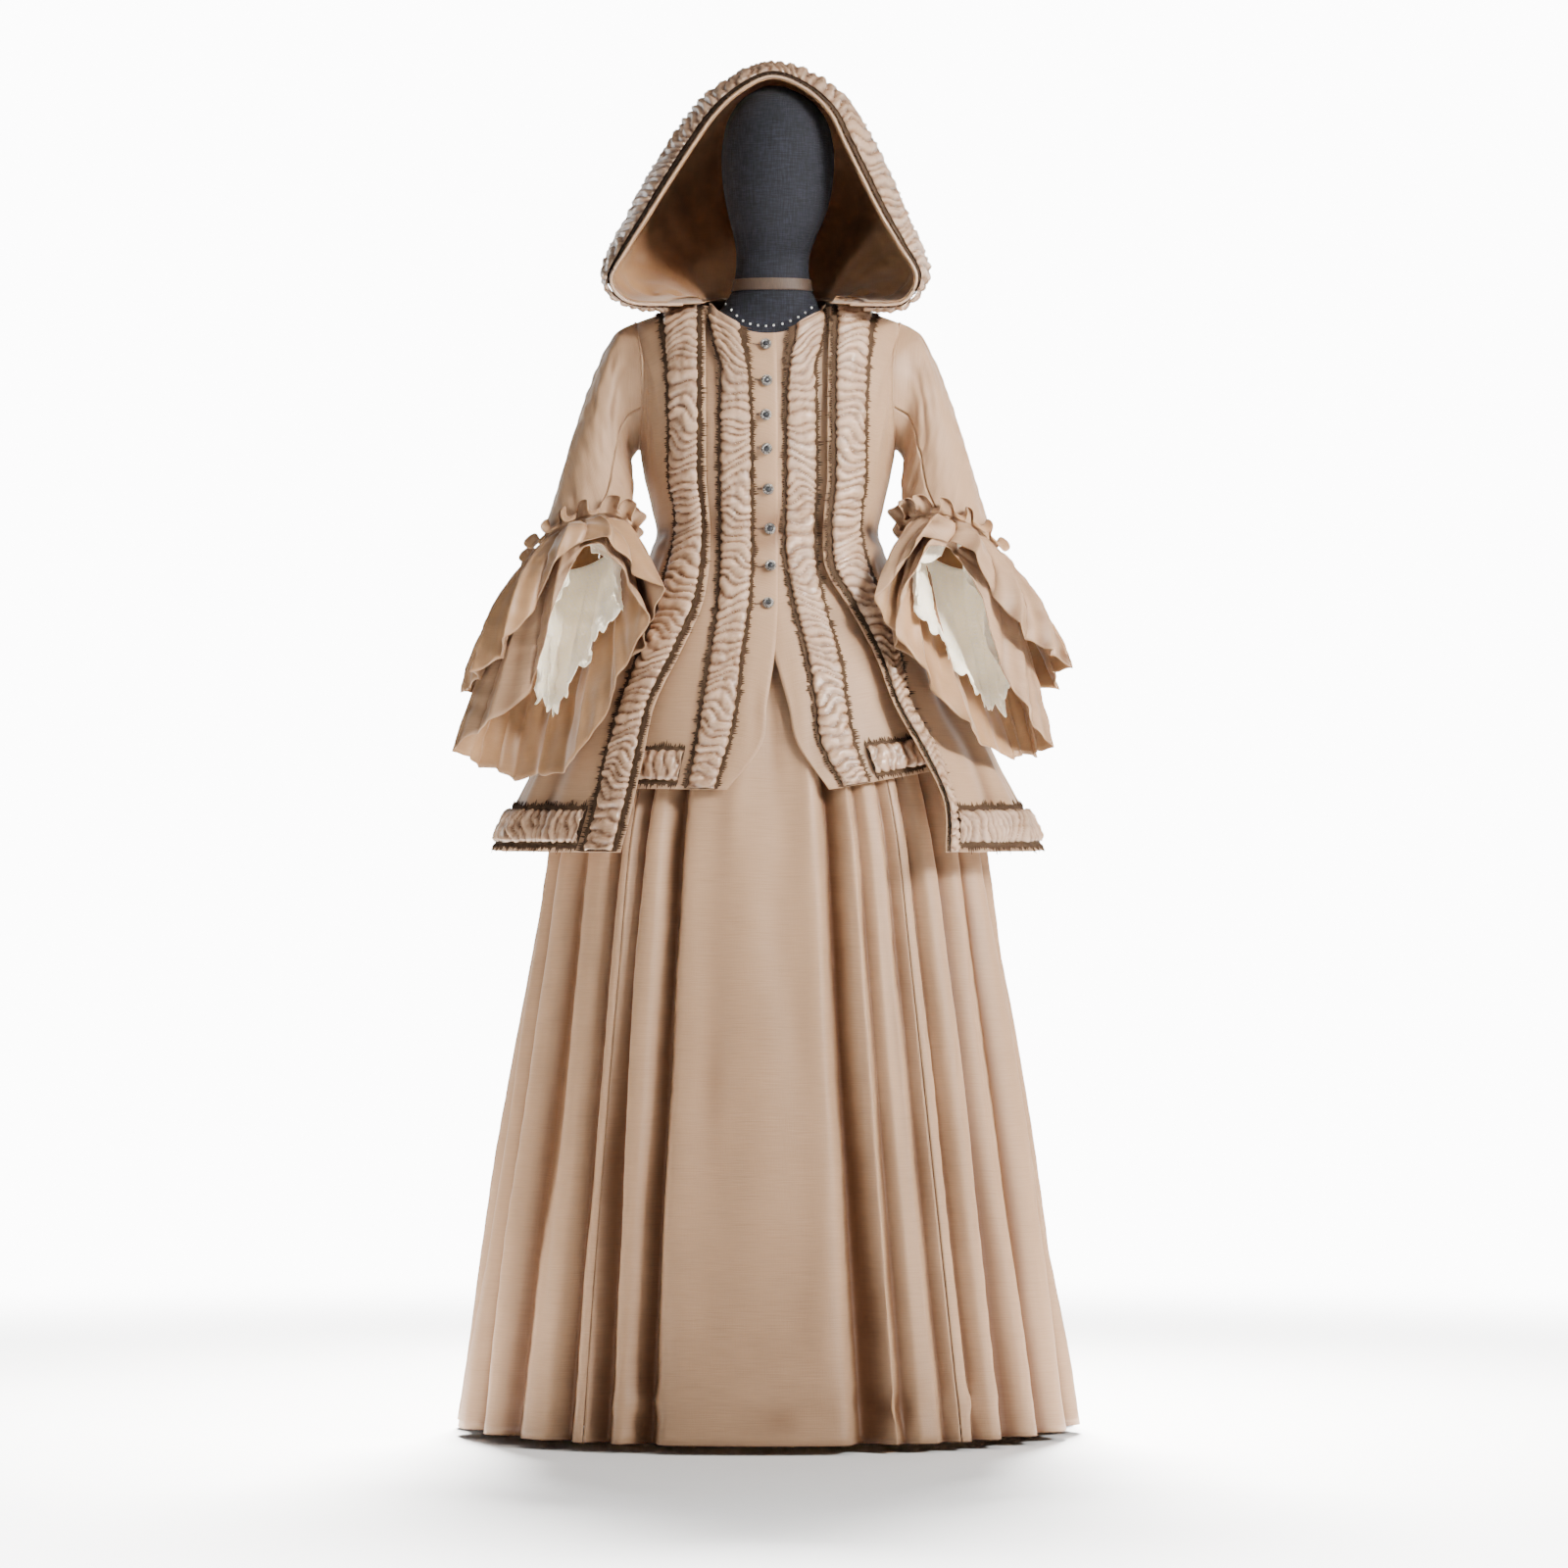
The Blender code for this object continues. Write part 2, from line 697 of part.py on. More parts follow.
def add_waistcoat():
    sheets = {LEFT: waistcoat_sheet(LEFT, 0.0), RIGHT: waistcoat_sheet(RIGHT, WAISTCOAT_LAP)}
    for side, name in ((LEFT, "left"), (RIGHT, "right")):
        sheet = sheets[side]
        add_wall("waistcoat_front_" + name, sheet.points, "cloth")
        last = sheet.points.shape[0] - 1
        rows = np.arange(last + 1, dtype=float)
        widen = np.clip(rows - (last - 2), 0, 1)
        add_band("waistcoat_" + name, sheet, rows, 1 + 0 * rows, 1.5 + 0.5 * widen,
                 2 + 0.75 * widen, upright=True, lift=YOKE_LIFT * (rows >= last - 2))
        ends = np.array([2.12, 3.0, 3.9])
        add_band("waistcoat_hem_" + name, sheet, ends, 0 * ends, 0.5 + 0 * ends, 1 + 0 * ends,
                 upright=False)
    return sheets[LEFT]


def gather_stations(sheet, along, middle, upright):
    """Places along a band about a gather's step apart, with every cut of the frayed strip."""
    rows, columns = (along, middle) if upright else (middle, along)
    line = sheet.at(rows, columns)
    stations = [along[0]]
    for k, length in enumerate(np.linalg.norm(np.diff(line, axis=0), axis=1)):
        steps = max(1, round(length / GATHER_STEP))
        stations += list(along[k] + (along[k + 1] - along[k]) * np.arange(1, steps + 1) / steps)
    return np.array(stations)


def add_band(name, sheet, along, low, middle, high, upright, lift=0.0):
    """A frayed strip with a ruched satin strip on it, both made from the sheet's own points.

    along are the places where the frayed strip is cut; low, middle and high are its two sides
    and its middle there, and lift raises it there. The satin keeps clear of both sides and
    rises once for each gather. Both are sewn down flat at their first end.
    """
    lift = np.broadcast_to(lift, along.shape)
    across = np.stack([low, middle, high], 1)
    rows, columns = (along[:, None], across) if upright else (across, along[:, None])
    out = FRAY_OUT + lift
    out[0] = FRAY_SEAT
    fray = sheet.at(rows + 0 * across, columns + 0 * across, out[:, None] + 0 * across)
    add_wall(name + "_fray", fray, "fray", FRAY_WALL)

    stations = gather_stations(sheet, along, middle, upright)
    across = np.stack([np.interp(stations, along, side) for side in (low, middle, high)], 1)
    across[:, 0] += (across[:, 1] - across[:, 0]) * 2 * BAND_INSET
    across[:, 2] += (across[:, 1] - across[:, 2]) * 2 * BAND_INSET
    rows, columns = (stations[:, None], across) if upright else (across, stations[:, None])
    up = (np.arange(len(stations)) % 2)[:, None]
    out = SATIN_OUT + np.interp(stations, along, lift)[:, None]
    out = out + GATHER_RISE * up * np.array([0.4, 1.0, 0.4])[None, :]
    out[0] = SATIN_SEAT
    satin = sheet.at(rows + 0 * across, columns + 0 * across, out)
    add_wall(name + "_ruching", satin, "satin", SATIN_WALL)


# Jacket

def armhole_point(turn):
    return float(ARMHOLE.at("distance", turn)), float(ARMHOLE.at("height", turn))


def jacket_tops():
    """Where each column ends above, from the front edge to the centre back: distance from the
    centre, height, and whether it lies on the back."""
    def shoulder(distance):
        return SHOULDER_AT_CENTRE - SHOULDER_SLOPE * distance

    tops = [(79, 1432, False), (108, shoulder(108), False), (143, shoulder(143), False)]
    tops += [(*armhole_point(turn), False) for turn in (0, 45, 90, 135, 180)]
    tops += [(*armhole_point(turn), True) for turn in (135, 90, 45, 0)]
    tops += [(143, shoulder(143), True), (82, shoulder(82), True), (42, 1447, True),
             (0, 1446, True)]
    return tops


def jacket_half(side):
    """Columns of half the jacket, from the front edge round to the centre back."""
    heights = np.array(JACKET_ROWS, float)
    edge = JACKET_EDGE[side]
    edge_angle = angle_of(JACKET, heights, edge.at("edge", heights))
    band_angle = angle_of(JACKET, heights, edge.at("band", heights))
    fall = np.clip((1110 - heights) / (1110 - JACKET_HEM), 0, 1) ** 1.2
    columns = []
    for number, (top_x, top_height, back) in enumerate(jacket_tops()):
        if number <= BAND_COLUMN:
            angle = edge_angle + (band_angle - edge_angle) * number / BAND_COLUMN
        elif number <= SIDE_COLUMN:
            share = (number - BAND_COLUMN) / (SIDE_COLUMN - BAND_COLUMN)
            angle = band_angle + (90 - band_angle) * share
        else:
            angle = 90 + 90 * (number - SIDE_COLUMN) / (BACK_COLUMN - SIDE_COLUMN) + 0 * heights
        low = ring(JACKET, heights, side * angle, PEPLUM_SPRING[number] * fall)
        forward = edge.at("forward", heights) * (1 - number / BAND_COLUMN) ** 1.3 \
            if number <= BAND_COLUMN else 0.0
        low[:, 1] -= forward
        high = upper_column(JACKET, low[-1, 0], side * top_x, top_height, back, JACKET_UPPER_ROWS,
                            at_side=number == SIDE_COLUMN)
        columns.append(np.concatenate([low, high]))
    return np.stack(columns, 1)


def jacket_sheet():
    left, right = jacket_half(LEFT), jacket_half(RIGHT)
    return Sheet(np.concatenate([left, right[:, ::-1][:, 1:]], 1), body_axis)


def add_jacket():
    sheet = jacket_sheet()
    last = sheet.points.shape[1] - 1
    panels = (
        ("jacket_front_left", 0, SIDE_COLUMN),
        ("jacket_side_back_left", SIDE_COLUMN, SIDE_BACK_COLUMN),
        ("jacket_back", SIDE_BACK_COLUMN, last - SIDE_BACK_COLUMN),
        ("jacket_side_back_right", last - SIDE_BACK_COLUMN, last - SIDE_COLUMN),
        ("jacket_front_right", last - SIDE_COLUMN, last),
    )
    for name, first, end in panels:
        add_wall(name, columns_between(sheet.points, first, end), "cloth")
    rows = np.arange(sheet.points.shape[0], dtype=float)
    inner = float(BAND_COLUMN)
    for name, first in (("left", 0.0), ("right", last - inner)):
        lines = [first + share * inner + 0 * rows for share in (0, 0.5, 1)]
        add_band("jacket_front_band_" + name, sheet, rows, *lines, upright=True)
    columns = np.concatenate([[inner + 0.06], np.arange(inner + 1, last - inner),
                              [last - inner - 0.06]])
    add_band("jacket_hem_band", sheet, columns, 0 * columns, 0.5 + 0 * columns, 1 + 0 * columns,
             upright=False)


# Sleeves and their flounces

def sleeve_rings(side, turns):
    """Rings of a sleeve at the turns (degrees): the armhole first, then the table's rings."""
    knots = np.arange(0, 361, 45)
    corner = []
    for knot in knots:
        fold = knot if knot <= 180 else 360 - knot
        distance, height = armhole_point(fold)
        corner.append(dome(JACKET, np.float64(distance), np.float64(height), knot > 180))
    corner = np.array(corner)
    corner[4, 1] = 0.5 * (corner[4, 1] + 0.0)
    first = np.stack([np.interp(turns, knots, corner[:, axis]) for axis in range(3)], 1)
    first[:, 0] = side * (first[:, 0] + ARMHOLE_GAP)
    rings = [first]
    for row in SLEEVE.rows:
        centre, across, front = sleeve_frame(side, row)
        angle = np.radians(turns)[:, None]
        rings.append(centre + np.cos(angle) * across + np.sin(angle) * front)
    return np.stack(rings)


def sleeve_frame(side, row):
    """Centre of a sleeve ring and its half axes toward the outer and the front side."""
    outer_x, outer_z, inner_x, inner_z, depth, y, tilt = row[1:]
    centre = np.array([side * (outer_x + inner_x) / 2, y, (outer_z + inner_z) / 2])
    across = np.array([side * (outer_x - inner_x) / 2, 0.0, (outer_z - inner_z) / 2])
    lean = math.radians(tilt)
    front = np.array([0.0, -depth * math.cos(lean), depth * math.sin(lean)])
    return centre, across, front


def sleeve_end(side):
    """The last ring of a sleeve and the direction in which the sleeve runs out there."""
    centre, across, front = sleeve_frame(side, SLEEVE.rows[-1])
    down = centre - sleeve_frame(side, SLEEVE.rows[-2])[0]
    return centre, across, front, down / np.linalg.norm(down)


def add_sleeve(side, name):
    turns = np.arange(0, 361, 22.5)
    points = sleeve_rings(side, turns)[:, :-1]
    order = [(SLEEVE_BACK_SEAM + k) % 16 for k in range(17)]
    around = points[:, order]
    split = (SLEEVE_FRONT_SEAM - SLEEVE_BACK_SEAM) % 16
    add_wall("sleeve_top_" + name, columns_between(around, 0, split), "cloth")
    add_wall("sleeve_under_" + name, columns_between(around, split, 16), "cloth")


def hanging_tube(side, hem, start_scale, start_drop, swell, wave, waves, phase, rows, turns):
    """A gathered tube from the sleeve's end ring to a hem given by a table of turns.

    point = start + (hem - start) s + outward (full sin(pi s) + wave cos(waves turn) s^0.7), and
    full is the swell, less of it toward the body
    """
    centre, across, front, down = sleeve_end(side)
    angle = np.radians(turns)[:, None]
    spoke = np.cos(angle) * across + np.sin(angle) * front
    start = centre + start_scale * spoke + start_drop * down
    end = np.stack([side * hem.round("x", turns), hem.round("y", turns),
                    hem.round("z", turns)], 1)
    outward = spoke / np.linalg.norm(spoke, axis=1, keepdims=True)
    ripple = np.cos(np.radians(waves * turns + phase))[:, None]
    full = swell * (0.6 + 0.4 * np.cos(angle))
    rings = []
    for s in rows:
        out = full * math.sin(math.pi * s) + wave * ripple * s**0.7
        rings.append(start + (end - start) * s + outward * out)
    return np.stack(rings)


def add_flounces(side, name):
    turns = np.arange(0, 360, 360 / (4 * FLOUNCE_WAVES))
    lower = hanging_tube(side, LOWER_FLOUNCE[side], 1.0, 0.5, 8.0, 11.0, FLOUNCE_WAVES, 40,
                         np.linspace(0, 1, 5), turns)
    upper = hanging_tube(side, UPPER_FLOUNCE[side], 1.06, -2.5, 16.0, 10.0, FLOUNCE_WAVES, 40,
                         np.linspace(0, 1, 4), turns)
    add_wall("flounce_lower_" + name, lower, "cloth", closed=True)
    add_wall("flounce_upper_" + name, upper, "cloth", closed=True)
    turns = np.arange(0, 360, 360 / (4 * CUFF_WAVES))
    cuff = hanging_tube(side, CREAM_CUFF[side], 0.943, -1.0, 2.0, 2.5, CUFF_WAVES, 0,
                        np.linspace(0, 1, 4), turns)
    add_wall("cream_cuff_" + name, cuff, "cream", CUFF_WALL, closed=True)
    add_frill(side, name)


def add_frill(side, name):
    """The pleated frill that stands up round the sleeve's end above the flounces."""
    centre, across, front, down = sleeve_end(side)
    turns = np.arange(0, 360, 360 / (4 * FRILL_WAVES))
    angle = np.radians(turns)[:, None]
    spoke = np.cos(angle) * across + np.sin(angle) * front
    ripple = np.cos(np.radians(FRILL_WAVES * turns))[:, None]
    rings = []
    for scale, drop, wave in FRILL_ROWS:
        rings.append(centre + spoke * (scale + wave * ripple) + (drop + 5 * wave * ripple) * down)
    add_wall("sleeve_frill_" + name, np.stack(rings), "cloth", closed=True)


# Hood

def hood_sheet(inward=0.0):
    """Rows from the rim to the neckline, columns from the left of the neck over the peak."""
    share = np.linspace(0, 1, HOOD_COLUMNS)
    rim = np.stack([HOOD_RIM.at(axis, share) for axis in ("x", "y", "z")], 1)
    swell = np.stack([HOOD_RIM.at(axis, share) for axis in ("swell_x", "swell_y", "swell_z")], 1)
    neck = np.stack([HOOD_NECK.at(axis, share) for axis in ("x", "y", "z")], 1)
    away = (rim - hood_centre(rim)) * np.array([1.0, 0.0, 1.0])
    away /= np.linalg.norm(away, axis=1, keepdims=True)
    away *= np.clip((rim[:, 2:] - 1436) / 50, 0, 1)
    length = np.linalg.norm(neck - rim, axis=1) + np.linalg.norm(swell, axis=1)
    first = np.minimum(HOOD_BAND / length, 0.22)
    rows = []
    for number in range(HOOD_ROWS):
        v = 0 * first if number == 0 else first + (1 - first) * (number - 1) / (HOOD_ROWS - 2)
        bulge = np.sin(math.pi * v**0.85)[:, None]
        rows.append(rim + (neck - rim) * v[:, None] + swell * bulge + away * HOOD_FLARE[number])
    sheet = Sheet(np.stack(rows), hood_centre)
    if not inward:
        return sheet
    return Sheet(sheet.points - sheet.normal * inward, hood_centre)


def add_hood():
    sheet = hood_sheet()
    middle = HOOD_COLUMNS // 2
    add_wall("hood_left", columns_between(sheet.points, 0, middle, HOOD_SEAM_GAP), "cloth")
    add_wall("hood_right", columns_between(sheet.points, middle, HOOD_COLUMNS - 1, HOOD_SEAM_GAP),
             "cloth")
    lining = hood_sheet(HOOD_LINING_IN)
    add_wall("hood_lining", lining.points[:, 1:-1], "lining", HOOD_LINING_WALL)
    columns = np.arange(1, HOOD_COLUMNS - 1, dtype=float)
    add_band("hood_rim_band", sheet, columns, 0 * columns, 0.5 + 0 * columns, 1 + 0 * columns,
             upright=False, lift=HOOD_BAND_LIFT)


# Form, stand, ribbon and buttons

def form_ring(height, out, turns):
    half = FORM.at("half_width", height) + out
    shift = FORM.at("shift", height)
    depth = np.where(np.cos(turns) > 0, FORM.at("front", height), FORM.at("back", height)) + out
    return np.stack([shift + half * np.sin(turns), -depth * np.cos(turns),
                     height + 0 * turns], -1)


def add_form():
    turns = np.radians(np.arange(0, 360, 360 / FORM_SIDES))
    rings = np.stack([form_ring(height, 0.0, turns) for height in FORM.rows[:, 0]])
    rows, sides = rings.shape[:2]
    faces = grid_faces(rows, sides, closed=True)
    faces.append(tuple(reversed(range(sides))))
    faces.append(tuple((rows - 1) * sides + c for c in range(sides)))
    add_object("dress_form", rings.reshape(-1, 3) * MM, faces, "dark_cloth")
    band = np.stack([form_ring(height, RIBBON_OUT, turns) for height in RIBBON_HEIGHTS])
    add_wall("neck_ribbon", band, "ribbon", RIBBON_WALL, closed=True)
    add_lathe("stand_pole", ((0, 904.4), (16, 904.4), (16, 24.6), (0, 24.6)), "stand", 14)
    add_lathe("stand_base", ((0, 24), (26, 24), (36, 19), (196, 14), (208, 8), (210, 0), (0, 0)),
              "stand", 28)


def add_buttons(sheet):
    """Buttons on the left front's edge, on short shanks and square to the cloth under them."""
    profile = ((0, 4.0), (4.8, 5.0), (7.4, 3.2), (6.8, 0), (2.4, 0), (1.8, -0.85), (0, -0.85))
    for number, x, height in BUTTONS.rows:
        button = add_lathe(f"button_{int(number)}", profile, "button", 12)
        rows = np.linspace(0, sheet.points.shape[0] - 1, 241)
        line = sheet.at(rows, BUTTON_COLUMN)
        row = float(np.interp(height, line[:, 2], rows))
        place = sheet.at(row, BUTTON_COLUMN, BUTTON_OUT)
        ahead = sheet.at(row, BUTTON_COLUMN, BUTTON_OUT + 1.0) - place
        button.location = (x * MM, place[1] * MM, place[2] * MM)
        tilt = math.atan2(ahead[2], -ahead[1])
        button.rotation_euler = (math.pi / 2 - tilt, 0, 0)


def main():
    for old in list(bpy.data.objects):
        bpy.data.objects.remove(old, do_unlink=True)
    collection = bpy.data.collections.new("hooded_ensemble")
    bpy.context.scene.collection.children.link(collection)
    add_form()
    add_skirt()
    front = add_waistcoat()
    add_jacket()
    for side, name in ((LEFT, "left"), (RIGHT, "right")):
        add_sleeve(side, name)
        add_flounces(side, name)
    add_hood()
    add_buttons(front)


main()
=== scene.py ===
"""Hooded dress and jacket ensemble on a dress form: the shown surfaces and the stage.

Lengths in the tables are millimetres and in the meshes metres. The front faces -Y, +X is the
viewer's right and the floor is at height 0. Each cloth piece is one grid of points, worked out
from its table, smoothed through, pressed into folds and given a wall and a lining side.
"""
import math

import bpy
import numpy as np
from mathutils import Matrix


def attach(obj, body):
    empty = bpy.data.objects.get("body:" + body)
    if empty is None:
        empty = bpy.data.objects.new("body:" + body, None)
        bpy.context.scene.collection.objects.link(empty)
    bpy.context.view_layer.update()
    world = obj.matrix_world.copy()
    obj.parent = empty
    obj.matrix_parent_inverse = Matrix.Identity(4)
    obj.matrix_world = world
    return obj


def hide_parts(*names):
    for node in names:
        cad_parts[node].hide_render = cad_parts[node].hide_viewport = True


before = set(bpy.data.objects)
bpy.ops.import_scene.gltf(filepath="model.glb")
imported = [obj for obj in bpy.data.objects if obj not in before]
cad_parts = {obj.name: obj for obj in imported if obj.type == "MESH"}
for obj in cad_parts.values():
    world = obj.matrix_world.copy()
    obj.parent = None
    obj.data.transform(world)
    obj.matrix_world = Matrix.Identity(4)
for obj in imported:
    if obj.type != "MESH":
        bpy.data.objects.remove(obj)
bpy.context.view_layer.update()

bl_info = {
    "name": "Hooded ensemble",
    "version": (1, 0, 0),
    "blender": (4, 5, 0),
    "location": "View3D > Sidebar > Costume",
    "description": "Hooded dress and jacket ensemble with ruched bands on a dress form",
    "category": "Add Mesh",
}

MM = 0.001
LEFT, RIGHT = -1, 1
SIDES = ((LEFT, "left"), (RIGHT, "right"))

SEAM_GAP, HOOD_SEAM_GAP = 1.2, 1.8
# Thicknesses of the cloths
SILK_WALL, FLOUNCE_WALL, LINING_WALL, CUFF_WALL = 1.2, 1.1, 0.9, 0.7
WAISTBAND_WALL, TAPE_WALL, FRAY_WALL, SATIN_WALL = 2.4, 0.8, 0.5, 0.6
BODICE_TOP_RING, JACKET_HEM, WAISTCOAT_HEM = 1210.0, 740.0, 818.0
GATHERED_LENGTH = 110.0
WAISTCOAT_ROWS = (818, 875, 925, 985, 1045, 1100, 1150, 1210)
WAISTCOAT_UPPER_ROWS = 4
WAISTCOAT_LAP, WAISTCOAT_DROP = 2.5, 7.6
JACKET_ROWS = (740, 801, 860, 925, 985, 1045, 1095, 1140, 1175, 1210)
JACKET_UPPER_ROWS = 5
BAND_COLUMN, SIDE_COLUMN, SIDE_BACK_COLUMN, BACK_COLUMN = 2, 7, 11, 15
ARMHOLE_GAP = 1.4
HOOD_COLUMNS, HOOD_ROWS, HOOD_BAND = 21, 6, 52.0
SHOULDER_AT_CENTRE, SHOULDER_SLOPE, SHOULDER_BACK = 1468.0, 0.322, 8.0
DOME_POWER, RING_POWER = 3.0, 0.92
BUTTON_OUT, BUTTON_COLUMN = 2.6, 0.45


def through(xs, ys, x):
    """Smooth curve through the points (xs, ys): cubic pieces with averaged slopes."""
    xs, ys, x = (np.asarray(values, float) for values in (xs, ys, x))
    step = np.diff(xs)
    slope = np.diff(ys) / step
    tangent = np.empty_like(ys)
    tangent[0], tangent[-1] = slope[0], slope[-1]
    tangent[1:-1] = (slope[:-1] * step[1:] + slope[1:] * step[:-1]) / (step[:-1] + step[1:])
    x = np.clip(x, xs[0], xs[-1])
    i = np.clip(np.searchsorted(xs, x, side="right") - 1, 0, len(xs) - 2)
    t = (x - xs[i]) / step[i]
    return (
        (2 * t**3 - 3 * t**2 + 1) * ys[i]
        + (t**3 - 2 * t**2 + t) * step[i] * tangent[i]
        + (3 * t**2 - 2 * t**3) * ys[i + 1]
        + (t**3 - t**2) * step[i] * tangent[i + 1]
    )


class Table:
    """A short table with named columns, read by a smooth curve along its first column."""

    def __init__(self, columns, *rows):
        self.columns = columns
        self.rows = np.array(rows, float)

    def at(self, column, place):
        values = self.rows[:, self.columns.index(column)]
        return through(self.rows[:, 0], values, place)

    def round(self, column, place):
        """The same for a table that goes round a full turn of 360 degrees."""
        keys = self.rows[:, 0]
        values = self.rows[:, self.columns.index(column)]
        keys = np.concatenate([keys[-2:] - 360, keys, keys[:2] + 360])
        values = np.concatenate([values[-2:], values, values[:2]])
        return through(keys, values, np.mod(place, 360))


RING = ("height", "half_width", "front", "back")

# Outer side of the skirt at its ridges
SKIRT = Table(
    RING,
    (12, 396, 378, 430),
    (200, 366, 340, 396),
    (400, 334, 300, 356),
    (600, 302, 260, 312),
    (740, 280, 230, 276),
    (825, 256, 208, 250),
    (900, 230, 184, 220),
    (1000, 184, 146, 168),
    (1080, 140, 108, 116),
    (1122, 119, 88, 83),
)

# Outer side of the waistcoat fronts
WAISTCOAT = Table(
    RING,
    (800, 284, 229, 250),
    (900, 246, 200, 230),
    (1000, 200, 162, 180),
    (1080, 156, 124, 124),
    (1140, 131, 101, 88),
    (1200, 142, 110, 90),
    (1250, 153, 118, 96),
    (1300, 160, 120, 100),
    (1350, 166, 116, 104),
    (1400, 172, 108, 104),
    (1470, 176, 100, 100),
)

# Outer side of the jacket, which springs out below the waist
JACKET = Table(
    RING,
    (735, 344, 276, 348),
    (780, 324, 262, 328),
    (825, 303, 247, 306),
    (900, 266, 219, 262),
    (1000, 213, 175, 200),
    (1080, 167, 136, 138),
    (1140, 141, 111, 98),
    (1200, 152, 120, 100),
    (1250, 162, 128, 106),
    (1300, 169, 130, 110),
    (1350, 175, 126, 114),
    (1400, 181, 118, 114),
    (1470, 185, 110, 110),
)

# Front edges of the jacket: the edge itself, the outer line of its band, and how far the edge
# swings forward. Distances from the centre, the height first.
EDGE = ("height", "edge", "band", "forward")
JACKET_EDGE = {
    LEFT: Table(
        EDGE,
        (740, 182, 236, 6),
        (804, 166, 219, 4),
        (848, 156, 210, 3),
        (904, 148, 195, 2),
        (960, 124, 178, 1),
        (1020, 94, 152, 0),
        (1070, 76, 138, 0),
        (1105, 73, 128, 0),
        (1145, 72, 119, 0),
        (1235, 79, 132, 0),
        (1420, 77, 143, 0),
    ),
    RIGHT: Table(
        EDGE,
        (740, 222, 236, 44),
        (798, 222, 232, 35),
        (835, 205, 224, 25),
        (882, 184, 209, 14),
        (918, 162, 186, 7),
        (980, 138, 172, 3),
        (1027, 118, 158, 0),
        (1070, 84, 146, 0),
        (1105, 71, 128, 0),
        (1160, 71, 121, 0),
        (1235, 77, 131, 0),
        (1420, 76, 141, 0),
    ),
}

# Lines of the waistcoat fronts by height: the front edge, the two sides of the upright band and
# two lines under the jacket. Distances to the panel's own side are positive.
FRONT_LINES = ("height", "edge", "band_in", "band_out", "mid", "side")
WAISTCOAT_LINES = {
    LEFT: Table(
        FRONT_LINES,
        (818, 50, 59, 108, 146, 186),
        (836, 27, 46, 102, 142, 183),
        (865, 10, 43, 97, 136, 178),
        (915, 2, 32, 90, 128, 168),
        (985, -9, 24, 79, 112, 148),
        (1045, -13, 16, 70, 102, 136),
        (1100, -13, 13, 66, 94, 126),
        (1210, -13, 13, 66, 94, 128),
    ),
    RIGHT: Table(
        FRONT_LINES,
        (818, 78, 90, 134, 170, 206),
        (836, 58, 70, 128, 165, 202),
        (865, 42, 63, 118, 156, 194),
        (915, 29, 55, 108, 144, 180),
        (985, 9, 42, 98, 128, 158),
        (1045, -8, 28, 80, 110, 140),
        (1100, -10, 17, 69, 96, 128),
        (1210, -10, 17, 69, 96, 130),
    ),
}

# Where the five lines of a waistcoat front end at the neck and shoulder
WAISTCOAT_TOP = Table(
    ("line", "distance", "height"),
    (0, -11, 1395),
    (1, 22, 1398),
    (2, 58, 1417),
    (3, 80, 1434),
    (4, 124, 1420),
)

# Armhole from the shoulder point (0 degrees) down the front or back to the underarm (180)
ARMHOLE = Table(
    ("turn", "distance", "height"),
    (0, 168, 1413),
    (45, 160, 1372),
    (90, 158, 1325),
    (135, 160, 1284),
    (180, 163, 1252),
)

# Folds of the skirt: place at the waist end and at the hem, half width there, depth of the
# valley at the hem, and how much of that depth is left at the gathered top
FOLD = ("top", "hem", "half_width", "depth", "top_share")
SKIRT_FOLDS = Table(
    FOLD,
    (-171, -171, 6.0, 20, 0.35),
    (-157, -157, 7.0, 26, 0.35),
    (-141, -140, 6.5, 22, 0.35),
    (-125, -122, 7.5, 28, 0.35),
    (-108, -104, 7.0, 24, 0.35),
    (-92, -87, 6.0, 22, 0.40),
    (-76, -68, 5.5, 24, 0.45),
    (-59, -54, 5.5, 20, 0.50),
    (-44, -39, 3.6, 24, 0.55),
    (-35, -30, 3.2, 26, 0.60),
    (-24, -21, 3.8, 34, 0.65),
    (15, 17, 4.4, 36, 0.65),
    (23, 24.5, 2.4, 14, 0.70),
    (31, 33, 2.6, 14, 0.65),
    (39, 40.5, 2.8, 18, 0.60),
    (51, 50, 4.5, 24, 0.50),
    (64, 62, 5.0, 20, 0.45),
    (80, 77, 6.0, 26, 0.40),
    (97, 93, 6.5, 22, 0.35),
    (113, 109, 7.0, 28, 0.35),
    (129, 126, 6.5, 22, 0.35),
    (145, 143, 7.5, 26, 0.35),
    (161, 161, 6.5, 20, 0.35),
)
SKIRT_HEIGHTS = (12, 190, 400, 600, 760, 900, 1010, 1123)
SKIRT_SEAMS = {"left": -33.0, "back_left": -113.0, "right": 36.5, "back_right": 118.0}

# Springing folds of the jacket below the waist: how far each column from the front edge to the
# centre back stands out (or in) at the hem
PEPLUM_SPRING = (0, 0, 0, 4, -6, 10, -6, 4, 14, -10, 20, 5, -10, 22, -8, 20)

# Rings of a sleeve from the armhole to the elbow: the outer and inner point of each ring in
# front view, its half depth, its place forward or back, and its tilt (front side up, degrees)
SLEEVE = Table(
    ("ring", "outer_x", "outer_z", "inner_x", "inner_z", "depth", "y", "tilt"),
    (1, 193, 1400, 172, 1244, 50, 3, 0),
    (2, 214, 1364, 174, 1238, 55, 0, 0),
    (3, 234, 1310, 173, 1228, 57, -8, 3),
    (4, 252, 1250, 171, 1208, 55, -24, 8),
    (5, 269, 1190, 172, 1182, 52, -46, 16),
    (6, 282, 1142, 180, 1158, 50, -66, 26),
    (7, 286, 1110, 183, 1142, 49, -76, 34),
)

